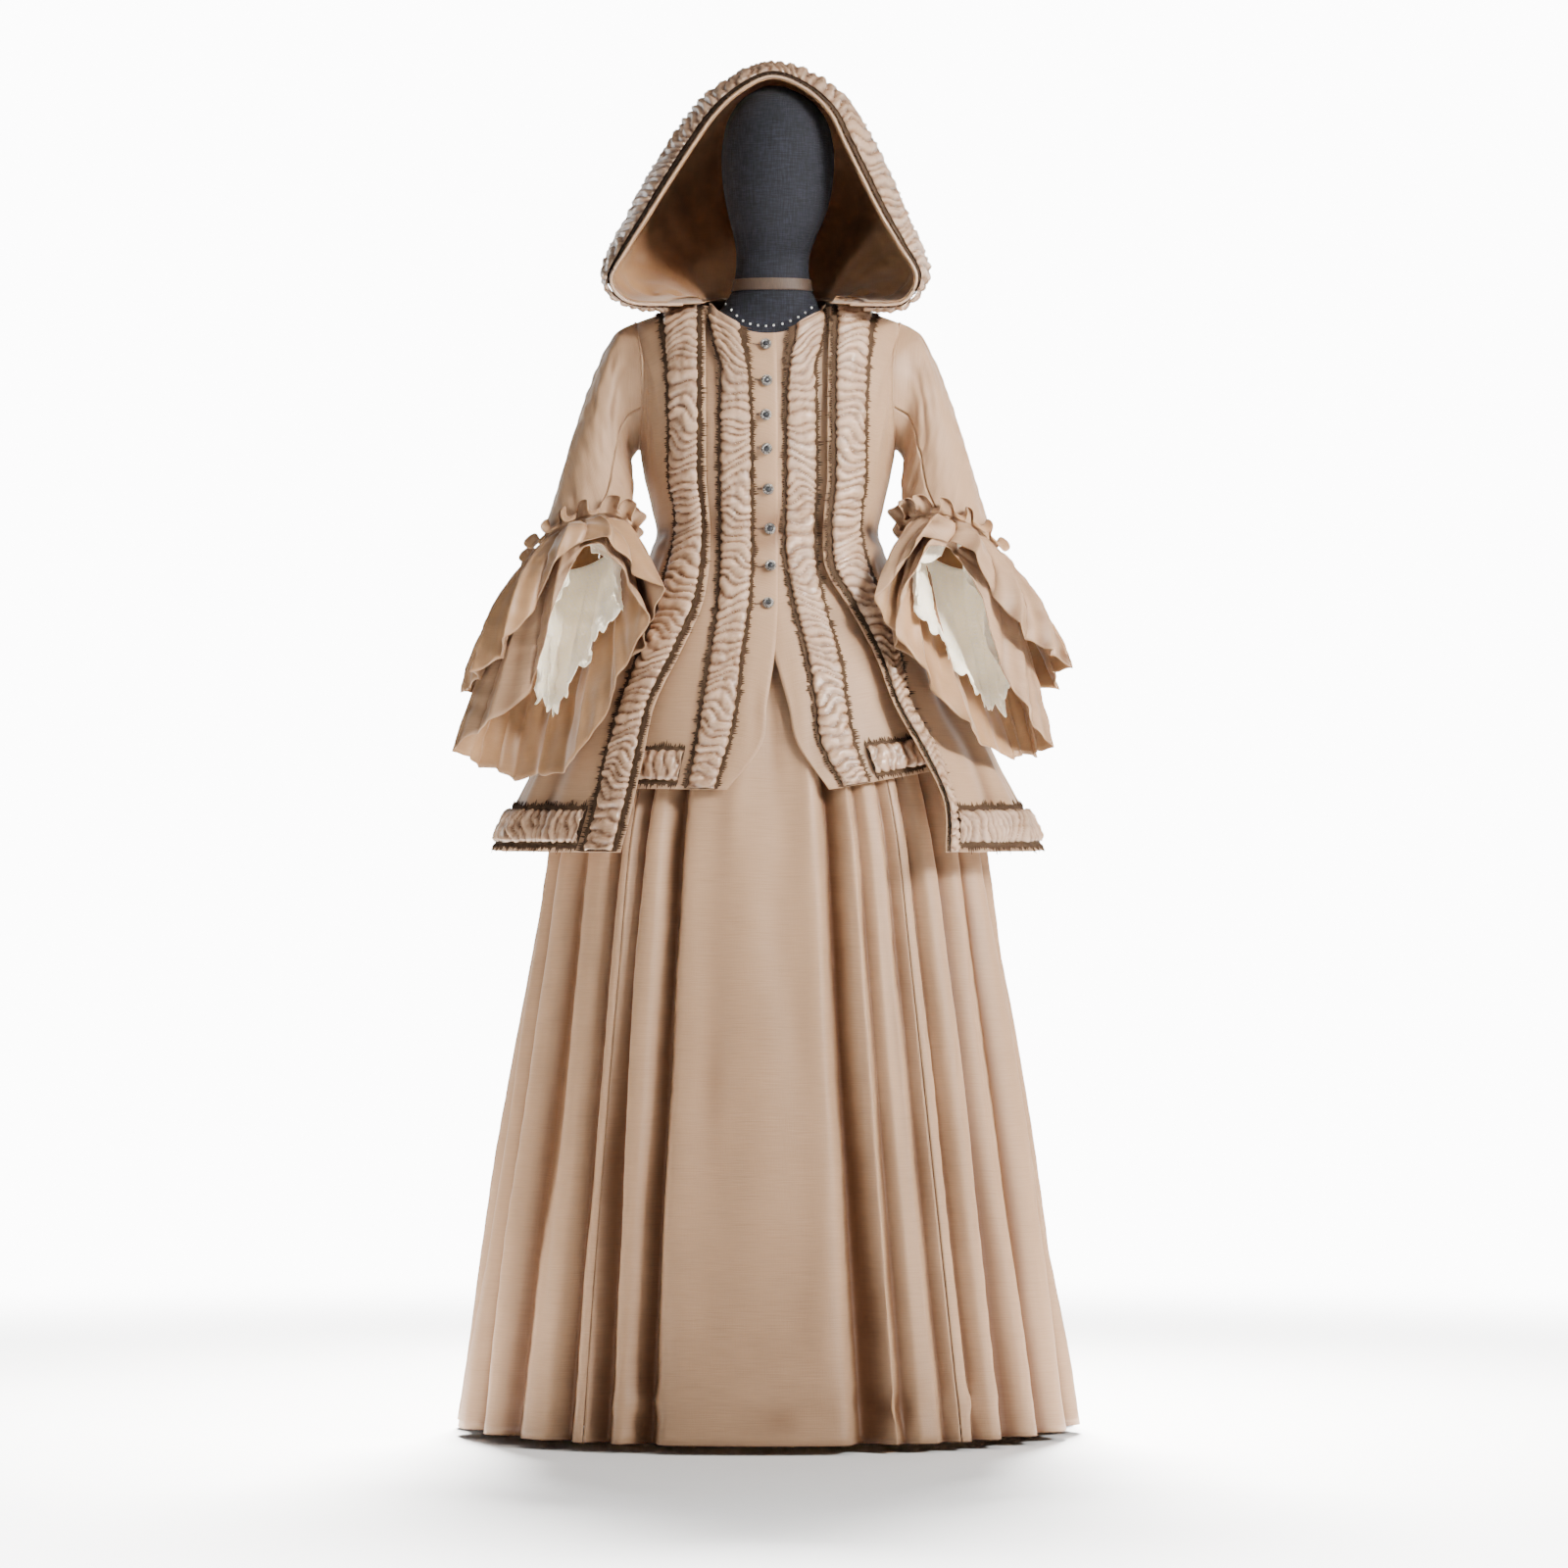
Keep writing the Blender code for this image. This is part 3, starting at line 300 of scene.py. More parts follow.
# Hems of the hanging sleeve flounces, by the turn round the sleeve end: outer side 0, front 90,
# body side 180, back 270. Distances from the centre, forward or back, and heights.
HEM = ("turn", "x", "y", "z")
LOWER_FLOUNCE = {
    LEFT: Table(
        HEM,
        (0, 389, -116, 876),
        (45, 304, -172, 940),
        (90, 232, -152, 1122),
        (135, 156, -180, 1048),
        (180, 188, -186, 950),
        (225, 240, -196, 857),
        (270, 300, -112, 833),
        (315, 356, -86, 846),
    ),
    RIGHT: Table(
        HEM,
        (0, 352, -110, 876),
        (45, 306, -170, 950),
        (90, 230, -152, 1124),
        (135, 160, -182, 1040),
        (180, 196, -184, 966),
        (225, 248, -196, 900),
        (270, 294, -120, 862),
        (315, 330, -88, 862),
    ),
}
UPPER_FLOUNCE = {
    LEFT: Table(
        HEM,
        (0, 376, -106, 948),
        (45, 322, -170, 1006),
        (90, 232, -160, 1132),
        (135, 146, -176, 1076),
        (180, 150, -174, 1016),
        (225, 200, -128, 962),
        (270, 286, -50, 935),
        (315, 348, -62, 930),
    ),
    RIGHT: Table(
        HEM,
        (0, 374, -106, 976),
        (45, 316, -170, 1020),
        (90, 230, -160, 1134),
        (135, 146, -172, 1078),
        (180, 156, -172, 1016),
        (225, 208, -132, 968),
        (270, 284, -52, 945),
        (315, 340, -62, 940),
    ),
}
CREAM_CUFF = {
    LEFT: Table(
        HEM,
        (0, 288, -134, 980),
        (45, 262, -140, 1060),
        (90, 230, -132, 1124),
        (135, 188, -148, 1078),
        (180, 190, -160, 1035),
        (225, 226, -160, 985),
        (270, 262, -138, 918),
        (315, 286, -126, 925),
    ),
    RIGHT: Table(
        HEM,
        (0, 298, -128, 940),
        (45, 262, -142, 1060),
        (90, 230, -132, 1124),
        (135, 188, -148, 1078),
        (180, 193, -162, 1034),
        (225, 226, -164, 985),
        (270, 262, -136, 935),
        (315, 292, -120, 912),
    ),
}

# Rim of the hood, from the front of the neck on the left over the peak to the right: the share
# of the way round, then its place, then how far the cloth swells back and out between the rim
# and the neckline
HOOD_RIM = Table(
    ("share", "x", "y", "z", "swell_x", "swell_y", "swell_z"),
    (0.00, -78, -82, 1434, 0, 14, -1),
    (0.06, -136, -86, 1432, -8, 44, 5),
    (0.11, -183, -98, 1438, -24, 84, 10),
    (0.15, -197, -104, 1461, -28, 100, 20),
    (0.22, -166, -100, 1517, -34, 126, 28),
    (0.32, -110, -88, 1608, -38, 152, 48),
    (0.42, -52, -74, 1688, -30, 176, 66),
    (0.50, 6, -61, 1722, 0, 190, 73),
    (0.58, 67, -75, 1690, 38, 176, 68),
    (0.68, 111, -88, 1609, 50, 152, 50),
    (0.78, 156, -100, 1521, 44, 126, 28),
    (0.85, 188, -104, 1466, 32, 100, 20),
    (0.89, 178, -98, 1438, 26, 84, 10),
    (0.94, 132, -86, 1432, 8, 44, 5),
    (1.00, 78, -82, 1434, 0, 14, -1),
)

# Neckline of the hood, by the same share of the way round
HOOD_NECK = Table(
    ("share", "x", "y", "z"),
    (0.00, -86, -36, 1443.5),
    (0.20, -89, 8, 1440.6),
    (0.35, -60, 57, 1446),
    (0.50, 0, 77, 1445.2),
    (0.65, 60, 57, 1446),
    (0.80, 89, 8, 1440.6),
    (1.00, 86, -36, 1443.5),
)

# Rows of the frill: share of the sleeve end's size, place along the sleeve, wave
FRILL_ROWS = ((1.055, -7.0, 0.0), (1.20, -15.0, 0.10), (1.34, -16.0, 0.20))

# Heights at which the waistcoat's hem rises toward the side, for each millimetre past 80
WAISTCOAT_RISE = {LEFT: 0.02, RIGHT: 0.18}

# Buttons down the left front: distance from the centre and height
BUTTONS = Table(
    ("number", "x", "height"),
    (1, -2, 1379),
    (2, -1, 1333),
    (3, -2, 1290),
    (4, -1, 1248),
    (5, 1, 1198),
    (6, 3, 1147),
    (7, 4, 1099),
    (8, 1, 1051),
)

# Dress form from the hips to the crown
FORM = Table(
    ("height", "half_width", "front", "back", "shift"),
    (905, 100, 84, 84, 0),
    (915, 116, 92, 92, 0),
    (1000, 128, 100, 102, 0),
    (1080, 108, 74, 76, 0),
    (1120, 112, 84.6, 79, 0),
    (1150, 113, 84.6, 79, 0),
    (1200, 126, 95, 84, 0),
    (1250, 137, 100, 88, 0),
    (1300, 144, 101.4, 91, 0),
    (1345, 147, 101.7, 98, 0),
    (1385, 134, 74, 80, 0),
    (1408, 98, 50, 60, 1),
    (1424, 68, 44, 50, 3),
    (1440, 58, 43, 49, 5),
    (1453, 51, 43, 48, 6),
    (1468, 48, 44, 48, 6),
    (1500, 47, 46, 52, 7),
    (1518, 51, 60, 62, 9),
    (1550, 62, 80, 78, 12),
    (1600, 71, 90, 88, 13),
    (1644, 70, 92, 90, 13),
    (1680, 58, 78, 78, 12),
    (1703, 36, 50, 52, 10),
    (1714, 14, 20, 22, 8),
)


def ring(table, height, angle, out=0.0):
    """Point of a garment's ring at an angle in degrees, moved out by a distance."""
    turn = np.radians(angle)
    sine, cosine = np.sin(turn), np.cos(turn)
    half = table.at("half_width", height) + out
    depth = np.where(cosine > 0, table.at("front", height), table.at("back", height)) + out
    x = half * np.sign(sine) * np.abs(sine) ** RING_POWER
    y = -depth * np.sign(cosine) * np.abs(cosine) ** RING_POWER
    return np.stack([x, y, height + 0 * x], -1)


def angle_of(table, height, x):
    """Angle at which a ring's front half stands x from the centre line."""
    share = np.clip(np.abs(x) / table.at("half_width", height), 0, 1)
    return np.degrees(np.arcsin(share ** (1 / RING_POWER))) * np.sign(x)


def dome(table, x, height, back, drop=0.0):
    """Point of the chest or back above the bodice's top ring, closing over to the shoulder."""
    half = table.at("half_width", height)
    depth = table.at("back" if back else "front", height)
    across = np.clip(np.abs(x) / half, 0, 1)
    flat = (1 - across ** (2 / RING_POWER)) ** (RING_POWER / 2)
    shoulder = SHOULDER_AT_CENTRE - drop - SHOULDER_SLOPE * np.abs(x)
    rise = np.clip((height - BODICE_TOP_RING) / (shoulder - BODICE_TOP_RING), 0, 1)
    lean = (1 - rise**DOME_POWER) ** (1 / DOME_POWER)
    y = (1 if back else -1) * depth * flat * lean + SHOULDER_BACK * rise**2
    return np.stack([x, y, height], -1)


def upper_column(table, start_x, top_x, top_height, back, steps, drop=0.0, at_side=False):
    """Points of one column above the top ring, closer together toward the shoulder. The side
    seam's column keeps to the widest line of the body."""
    even = np.arange(1, steps + 1) / steps
    near_shoulder = np.clip((top_height - 1250) / (1413 - 1250), 0, 1)
    share = even + (np.sin(even * math.pi / 2) - even) * near_shoulder
    x = start_x + (top_x - start_x) * share**3
    height = BODICE_TOP_RING + (top_height - BODICE_TOP_RING) * share
    if at_side:
        x = np.sign(start_x) * table.at("half_width", height)
    return dome(table, x, height, back, drop)


class Sheet:
    """A grid of points, rows by columns, that gives any place on it moved out."""

    def __init__(self, points, inside):
        self.points = points
        down = np.gradient(points, axis=0)
        along = np.gradient(points, axis=1)
        normal = np.cross(along, down)
        normal /= np.linalg.norm(normal, axis=2, keepdims=True) + 1e-12
        middle = tuple(size // 2 for size in points.shape[:2])
        outward = points[middle] - inside(points[middle])
        self.normal = normal * np.sign(np.dot(normal[middle], outward))

    def at(self, row, column, out=0.0):
        row, column = np.broadcast_arrays(np.asarray(row, float), np.asarray(column, float))
        r = np.clip(np.floor(row).astype(int), 0, self.points.shape[0] - 2)
        c = np.clip(np.floor(column).astype(int), 0, self.points.shape[1] - 2)
        a, b = (row - r)[..., None], (column - c)[..., None]

        def blend(grid):
            low = grid[r, c] * (1 - b) + grid[r, c + 1] * b
            high = grid[r + 1, c] * (1 - b) + grid[r + 1, c + 1] * b
            return low * (1 - a) + high * a

        return blend(self.points) + blend(self.normal) * np.asarray(out)[..., None]


def body_axis(point):
    return np.array([0.0, 0.0, point[2]])


def hood_centre(point):
    return np.array([0.0, 20.0, 1560.0])


# Grids, folds and walls

def spline(grid, places, closed=False):
    """Smooth curve through a grid's rows: the cubic between two rows whose slope at each row
    is half the step from the row before it to the row after it."""
    grid, places = np.asarray(grid, float), np.asarray(places, float)
    count = len(grid)
    first = np.floor(places).astype(int)
    if not closed:
        first = np.clip(first, 0, count - 2)
    t = (places - first).reshape((-1,) + (1,) * (grid.ndim - 1))

    def row(step):
        index = first + step
        if closed:
            return grid[index % count]
        inside = grid[np.clip(index, 0, count - 1)]
        over = (np.clip(index, 0, count - 1) - index).reshape(t.shape)
        slope = np.where(over < 0, grid[-1] - grid[-2], grid[1] - grid[0])
        return inside - over * slope

    a, b, c, d = row(-1), row(0), row(1), row(2)
    return b + 0.5 * t * (c - a + t * (2 * a - 5 * b + 4 * c - d + t * (3 * (b - c) + d - a)))


def refine(grid, rows, columns, closed=False):
    """The grid at finer rows and columns, by the smooth curve along each."""
    grid = spline(grid, rows)
    return np.swapaxes(spline(np.swapaxes(grid, 0, 1), columns, closed), 0, 1)


def lengths(grid):
    """How far each point lies along its column and along its row, in the grid's own unit."""
    down = np.linalg.norm(np.diff(grid, axis=0), axis=2)
    down = np.concatenate([np.zeros((1, grid.shape[1])), np.cumsum(down, 0)])
    across = np.linalg.norm(np.diff(grid, axis=1), axis=2)
    across = np.concatenate([np.zeros((grid.shape[0], 1)), np.cumsum(across, 1)], 1)
    return down, across - across[:, across.shape[1] // 2, None]


def normals(grid, outward, closed=False):
    """Unit normals of a grid: the cross product of its two slopes, turned to the outside."""
    down = np.gradient(grid, axis=0)
    if closed:
        along = np.roll(grid, -1, 1) - np.roll(grid, 1, 1)
    else:
        along = np.gradient(grid, axis=1)
    normal = np.cross(along, down)
    normal /= np.linalg.norm(normal, axis=2, keepdims=True) + 1e-12
    middle = (grid.shape[0] // 2, grid.shape[1] // 2)
    return normal * np.sign(np.dot(normal[middle], outward(grid[middle])) + 1e-9)


def from_axis(point):
    """Direction away from the upright axis of the body."""
    return np.array([point[0], point[1], 0.0])


def from_hood(point):
    """Direction away from the middle of the head."""
    return point - np.array([0.0, 20.0, 1560.0])


def upward(point):
    """Direction away from the floor."""
    return np.array([0.0, 0.0, 1.0])


def blurred(values, reach, closed=False):
    """Mean over reach steps to either side, down the rows and then along the columns."""
    for axis in (0, 1):
        width = [(0, 0)] * values.ndim
        width[axis] = (reach + 1, reach)
        total = np.cumsum(np.pad(values, width, mode="wrap" if closed and axis else "edge"), axis)
        last = total.shape[axis]
        high = np.take(total, np.arange(2 * reach + 1, last), axis)
        values = (high - np.take(total, np.arange(last - 2 * reach - 1), axis)) / (2 * reach + 1)
    return values


def valleys(grid, outward, reach, depth, closed=False):
    """How deep each point lies in the folds, from 0 to 1: the height by which the mean of the grid over
    reach steps stands above it, over depth. It is the mask of the painted shade in the folds."""
    above = np.sum((blurred(grid, reach, closed) - grid) * normals(grid, outward, closed), axis=2)
    return blurred(np.clip(above / depth - 0.12, 0, 1), 1, closed)


def soft_noise(a, b, size, seed):
    """Uneven waves from -1 to 1: the mean of six sines whose directions and lengths differ."""
    rng = np.random.default_rng(seed)
    total = np.zeros(np.broadcast(a, b).shape)
    for k in range(6):
        turn, stretch, shift = rng.uniform(0, math.pi), rng.uniform(0.6, 1.7), rng.uniform(0, 6.3)
        total += np.sin(2 * math.pi * (a * math.cos(turn) + b * math.sin(turn)) * stretch / size + shift)
    return total / 3.5


def creases(a, b, table):
    """Folds laid one by one. Each row of the table is the middle (a, b), the turn in degrees from the a
    axis, the length, the half width, the depth (a ridge is positive) and the bow. A fold is depth
    exp(-(across / half width)^2), fading at its two ends as the cosine of its length."""
    out = np.zeros(np.broadcast(a, b).shape)
    for middle_a, middle_b, turn, length, width, depth, bow in table:
        c, s = math.cos(math.radians(turn)), math.sin(math.radians(turn))
        along = (a - middle_a) * c + (b - middle_b) * s
        share = np.clip(2 * along / length, -1, 1)
        across = -(a - middle_a) * s + (b - middle_b) * c - bow * (1 - share**2)
        out += depth * np.exp(-((across / width) ** 2)) * np.cos(share * math.pi / 2) ** 1.3
    return out


def gathers(along, across, step, seed, slant=0.35):
    """Height from 0 to 1 of cloth drawn up into gathers of uneven spacing: within each gather
    it is sin(pi t) times the gather's own height, and the gathers wander by the slant."""
    rng = np.random.default_rng(seed)
    wander = step * slant * (np.sin(across * 2.3 + along / step * 0.31)
                             + 0.6 * np.sin(across * 4.9 + along / step * 0.83))
    place = along - along.min() + wander + 3 * step
    count = int(place.max() / step * 1.6) + 8
    edges = np.concatenate([[0.0], np.cumsum(rng.uniform(0.55, 1.45, count) * step)])
    tall = rng.uniform(0.5, 1.0, count + 1)
    index = np.clip(np.searchsorted(edges, place, side="right") - 1, 0, count - 1)
    t = (place - edges[index]) / (edges[index + 1] - edges[index])
    return np.sin(math.pi * np.clip(t, 0, 1)) * tall[index]


# Meshes

def make_mesh(name, points, faces, materials, face_materials=None, place=None, smooth=True):
    """A mesh object from points in metres, its faces, its finishes and, for each point, its
    place on the flat cloth in metres, which becomes the UV map."""
    mesh = bpy.data.meshes.new(name)
    mesh.from_pydata(points, [], faces)
    for finish in materials:
        mesh.materials.append(finish)
    if face_materials is not None:
        mesh.polygons.foreach_set("material_index", np.asarray(face_materials, np.int32))
    if place is not None:
        corners = np.empty(len(mesh.loops), np.int32)
        mesh.loops.foreach_get("vertex_index", corners)
        layer = mesh.uv_layers.new(name="cloth")
        layer.data.foreach_set("uv", np.asarray(place, np.float32)[corners].ravel())
    mesh.polygons.foreach_set("use_smooth", np.full(len(mesh.polygons), smooth))
    mesh.update()
    piece = bpy.data.objects.new(name, mesh)
    bpy.context.scene.collection.objects.link(piece)
    return piece


def grid_quads(rows, columns, closed, flip):
    """Quads of a grid, as an array; flip turns them over."""
    r, c = np.meshgrid(np.arange(rows - 1), np.arange(columns if closed else columns - 1),
                       indexing="ij")
    n = (c + 1) % columns
    quads = np.stack([r * columns + c, r * columns + n, (r + 1) * columns + n,
                      (r + 1) * columns + c], -1).reshape(-1, 4)
    return quads[:, ::-1] if flip else quads


def wall(name, grid, thickness, outward, outer, inner, closed=False, deep=None):
    """A cloth wall on a grid in millimetres. Its outer side is the grid moved out along the unit normals by
    half the thickness, its lining side the grid moved in by as much, and quads close it along its edges. The
    flat place of each point is its length along its row and its column, and deep, its depth in the folds,
    becomes an attribute of the outer side, by which the finishes paint shade into the folds."""
    rows, columns = grid.shape[:2]
    normal = normals(grid, outward, closed)
    along = np.roll(grid, -1, 1) - np.roll(grid, 1, 1) if closed else np.gradient(grid, axis=1)
    flip = np.sum(np.cross(along, np.gradient(grid, axis=0)) * normal) < 0
    half = np.asarray(thickness) / 2
    both = np.concatenate([(grid + normal * half).reshape(-1, 3),
                           (grid - normal * half).reshape(-1, 3)]) * MM
    count = rows * columns
    top = grid_quads(rows, columns, closed, flip)
    under = top[:, ::-1] + count
    ring = [np.arange(columns), (rows - 1) * columns + np.arange(columns)[::-1]]
    if closed:
        ring = [np.append(part, part[0]) for part in ring]
    else:
        left = np.arange(rows)[::-1] * columns
        ring += [left, np.arange(rows) * columns + columns - 1]
    rim = [np.stack([part[1:], part[:-1], part[:-1] + count, part[1:] + count], 1)
           for part in ring]
    rim = np.concatenate(rim)
    rim = rim[:, ::-1] if flip else rim
    down, over = lengths(grid)
    place = np.stack([over, down], -1).reshape(-1, 2) * MM
    kinds = np.concatenate([np.zeros(len(top)), np.ones(len(under)), np.zeros(len(rim))])
    piece = make_mesh(name, both, np.concatenate([top, under, rim]), [outer, inner], kinds,
                      np.concatenate([place, place]))
    if deep is not None:
        values = np.concatenate([deep.ravel(), np.zeros(count)]).astype(np.float32)
        piece.data.attributes.new("deep", "FLOAT", "POINT").data.foreach_set("value", values)
    return piece


def area_of(grid, closed=False):
    """Area of a grid's surface, from the diagonals of its quads."""
    if closed:
        grid = np.concatenate([grid, grid[:, :1]], 1)
    one = grid[1:, 1:] - grid[:-1, :-1]
    two = grid[1:, :-1] - grid[:-1, 1:]
    return float(np.linalg.norm(np.cross(one, two), axis=2).sum() / 2)


def declare_cloth(grid, closed=False, cut=None, strip=False):
    """Works out the size of a sheet of cloth but neither keeps nor returns it. The grid is its surface, or
    its cut laid in place, and its flat area is that of the grid. The cut is as wide as the longest row and
    as long as the longest column, both of cut where the piece's own edge is notched. A strip is even, so it
    is as long as its mean column."""
    shape = grid if cut is None else cut
    loop = np.concatenate([shape, shape[:, :1]], 1) if closed else shape
    width = float(np.linalg.norm(np.diff(loop, axis=1), axis=2).sum(1).max()) * MM
    columns = np.linalg.norm(np.diff(loop, axis=0), axis=2).sum(0)
    long = float(columns.mean() if strip else columns.max()) * MM
    width, long = math.ceil(width * 1000) * MM, math.ceil(long * 1000) * MM
    area = min(area_of(grid, closed) * MM * MM, width * long)


def own(piece, slot, *nodes):
    """The piece rides on the body and stands for its nodes, which are hidden. The slot is not used."""
    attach(piece, "root")
    if nodes:
        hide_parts(*nodes)
    return piece


def lathe(name, profile, steps, finish, turn=None, place=(0, 0, 0)):
    """A turned piece: the profile of (radius, height) from top to bottom goes round Z; the
    first and last points lie on the axis and close it. turn is a 3 by 3 rotation."""
    profile = np.array(profile, float)
    angle = np.linspace(0, 2 * math.pi, steps, endpoint=False)
    points = np.stack([profile[1:-1, :1] * np.cos(angle), profile[1:-1, :1] * np.sin(angle),
                       profile[1:-1, 1:] + 0 * angle], -1).reshape(-1, 3)
    count = len(points)
    points = np.concatenate([points, [[0, 0, profile[0, 1]], [0, 0, profile[-1, 1]]]])
    if turn is not None:
        points = points @ np.asarray(turn).T
    quads = grid_quads(len(profile) - 2, steps, True, True).tolist()
    ring = np.arange(steps)
    top = [(count, a, b) for a, b in zip(ring, np.roll(ring, -1))]
    last = ring + count - steps
    end = [(count + 1, b, a) for a, b in zip(last, np.roll(last, -1))]
    return make_mesh(name, (points + np.array(place)) * MM, quads + top + end, [finish])


def tube(name, path, radius, finish, sides):
    """A round thread along a path: rings of the radius square to the path's own direction,
    with a pole at each end. path is (points, 3) or a list of such paths of one length."""
    paths = [np.asarray(p, float) for p in (path if isinstance(path, list) else [path])]
    angle = np.linspace(0, 2 * math.pi, sides, endpoint=False)
    everything, faces, start = [], [], 0
    for line in paths:
        ahead = np.gradient(line, axis=0)
        ahead /= np.linalg.norm(ahead, axis=1, keepdims=True) + 1e-12
        helper = np.where(np.abs(ahead[:, 2:]) < 0.9, [[0.0, 0.0, 1.0]], [[1.0, 0.0, 0.0]])
        first = np.cross(ahead, helper)
        first /= np.linalg.norm(first, axis=1, keepdims=True)
        second = np.cross(ahead, first)
        rings = line[:, None] + radius * (np.cos(angle)[None, :, None] * first[:, None]
                                          + np.sin(angle)[None, :, None] * second[:, None])
        everything += [rings.reshape(-1, 3), line[:1], line[-1:]]
        count = len(line) * sides
        faces += (grid_quads(len(line), sides, True, True) + start).tolist()
        ring = np.arange(sides)
        pairs = list(zip(ring, np.roll(ring, -1)))
        faces += [(start + count, start + a, start + b) for a, b in pairs]
        faces += [(start + count + 1, start + count - sides + b, start + count - sides + a)
                  for a, b in pairs]
        start += count + 2
    return make_mesh(name, np.concatenate(everything) * MM, faces, [finish])


# Finishes

class Finish:
    """Makes one material: each call adds a node, sets its inputs and links sockets to them."""

    def __init__(self, name):
        self.material = bpy.data.materials.new(name + "_finish")
        self.material.use_nodes = True
        self.tree = self.material.node_tree
        self.shader = self.tree.nodes["Principled BSDF"]
        self.coordinates = self.tree.nodes.new("ShaderNodeTexCoord")

    def add(self, kind, inputs=(), **settings):
        node = self.tree.nodes.new("ShaderNode" + kind)
        for key, value in settings.items():
            setattr(node, key, value)
        for key, value in dict(inputs).items():
            self.join(node.inputs[key], value)
        return node

    def join(self, socket, value):
        if isinstance(value, bpy.types.NodeSocket):
            self.tree.links.new(value, socket)
        else:
            socket.default_value = value

    def place(self, scale, kind="UV", turn=0.0):
        mapping = self.add("Mapping", {"Vector": self.coordinates.outputs[kind]})
        mapping.inputs["Scale"].default_value = scale
        mapping.inputs["Rotation"].default_value = (0, 0, turn)
        return mapping.outputs["Vector"]

    def noise(self, scale, kind="UV", detail=3.0, size=1.0, turn=0.0):
        vector = self.place(scale, kind, turn)
        return self.add("TexNoise", {"Vector": vector, "Scale": size, "Detail": detail,
                                     "Roughness": 0.6}).outputs["Fac"]

    def ramp(self, value, *stops):
        node = self.add("ValToRGB", {"Fac": value})
        band = node.color_ramp
        while len(band.elements) < len(stops):
            band.elements.new(0.5)
        for element, (position, colour) in zip(band.elements, stops):
            element.position, element.color = position, colour
        return node.outputs["Color"]

    def mix(self, share, one, two, how="MIX"):
        node = self.add("Mix", data_type="RGBA", blend_type=how)
        self.join(node.inputs[0], share)
        self.join(node.inputs[6], one)
        self.join(node.inputs[7], two)
        return node.outputs[2]

    def sum(self, *pairs):
        """The sum of each socket times its weight."""
        total = None
        for socket, weight in pairs:
            part = self.add("Math", {0: socket, 1: weight}, operation="MULTIPLY").outputs[0]
            total = part if total is None else \
                self.add("Math", {0: total, 1: part}, operation="ADD").outputs[0]
        return total

    def painted_fold_shade(self, tone, share, dark=(0.28, 0.19, 0.13, 1)):
        """The tone, darkened by painted shade where the cloth lies in its folds; dark is the colour of that
        shade.
        """
        deep = self.add("Attribute", attribute_name="deep").outputs["Fac"]
        return self.mix(self.sum((deep, share)), tone, dark, "MULTIPLY")

    def surface(self, colour, roughness, height=None, depth=0.0005, **plain):
        self.join(self.shader.inputs["Base Color"], colour)
        self.join(self.shader.inputs["Roughness"], roughness)
        if height is not None:
            bump = self.add("Bump", {"Height": height, "Distance": depth, "Strength": 1.0})
            self.join(self.shader.inputs["Normal"], bump.outputs["Normal"])
        for key, value in plain.items():
            self.shader.inputs[key.replace("_", " ")].default_value = value
        return self.material


def shade(colour, factor):
    return (*(min(1.0, channel * factor) for channel in colour[:3]), 1.0)


def finish(name):
    """The finish of that name, made the first time that it is asked for."""
    made = bpy.data.materials.get(name + "_finish")
    return made or MAKERS[name](bpy.context.scene.ensemble_colours)


def silk_like(name, colour, thread, gloss, slubs):
    """Ribbed silk: weft threads across, finer warp threads down, slubs, and slow changes of tone where the
    cloth has faded. Painted shade darkens the tone in the valleys of its folds."""
    f = Finish(name)
    weft = f.noise((thread * 0.03, thread, 1), detail=2.0)
    warp = f.noise((thread * 1.3, thread * 0.04, 1), detail=1.0)
    slub = f.noise((14, 420, 1), detail=1.0)
    cloud = f.noise((5, 5, 5), "Object", detail=4.0)
    tone = f.ramp(cloud, (0.3, shade(colour, 0.88)), (0.7, shade(colour, 1.08)))
    lines = f.ramp(weft, (0.3, shade(colour, 0.80)), (0.7, shade(colour, 1.14)))
    tone = f.mix(0.42, tone, lines)
    dark_slub = f.ramp(slub, (0.62, (0, 0, 0, 1)), (0.72, (slubs, slubs, slubs, 1)))
    # Painted shade: the tone darkens in the valleys of the folds.
    tone = f.painted_fold_shade(f.mix(dark_slub, tone, shade(colour, 0.6)), 0.95)
    height = f.sum((weft, 0.7), (warp, 0.4), (slub, 0.25))
    rough = f.ramp(cloud, (0.2, (gloss, gloss, gloss, 1)),
                   (0.8, (gloss + 0.12, gloss + 0.12, gloss + 0.12, 1)))
    f.shader.inputs["Sheen Tint"].default_value = shade(colour, 1.9)
    return f.surface(tone, rough, height, 0.00035, Sheen_Weight=0.03, Sheen_Roughness=0.4,
                     Specular_IOR_Level=0.22)


def make_silk(colours):
    return silk_like("silk", colours.silk, 900.0, 0.40, 0.22)


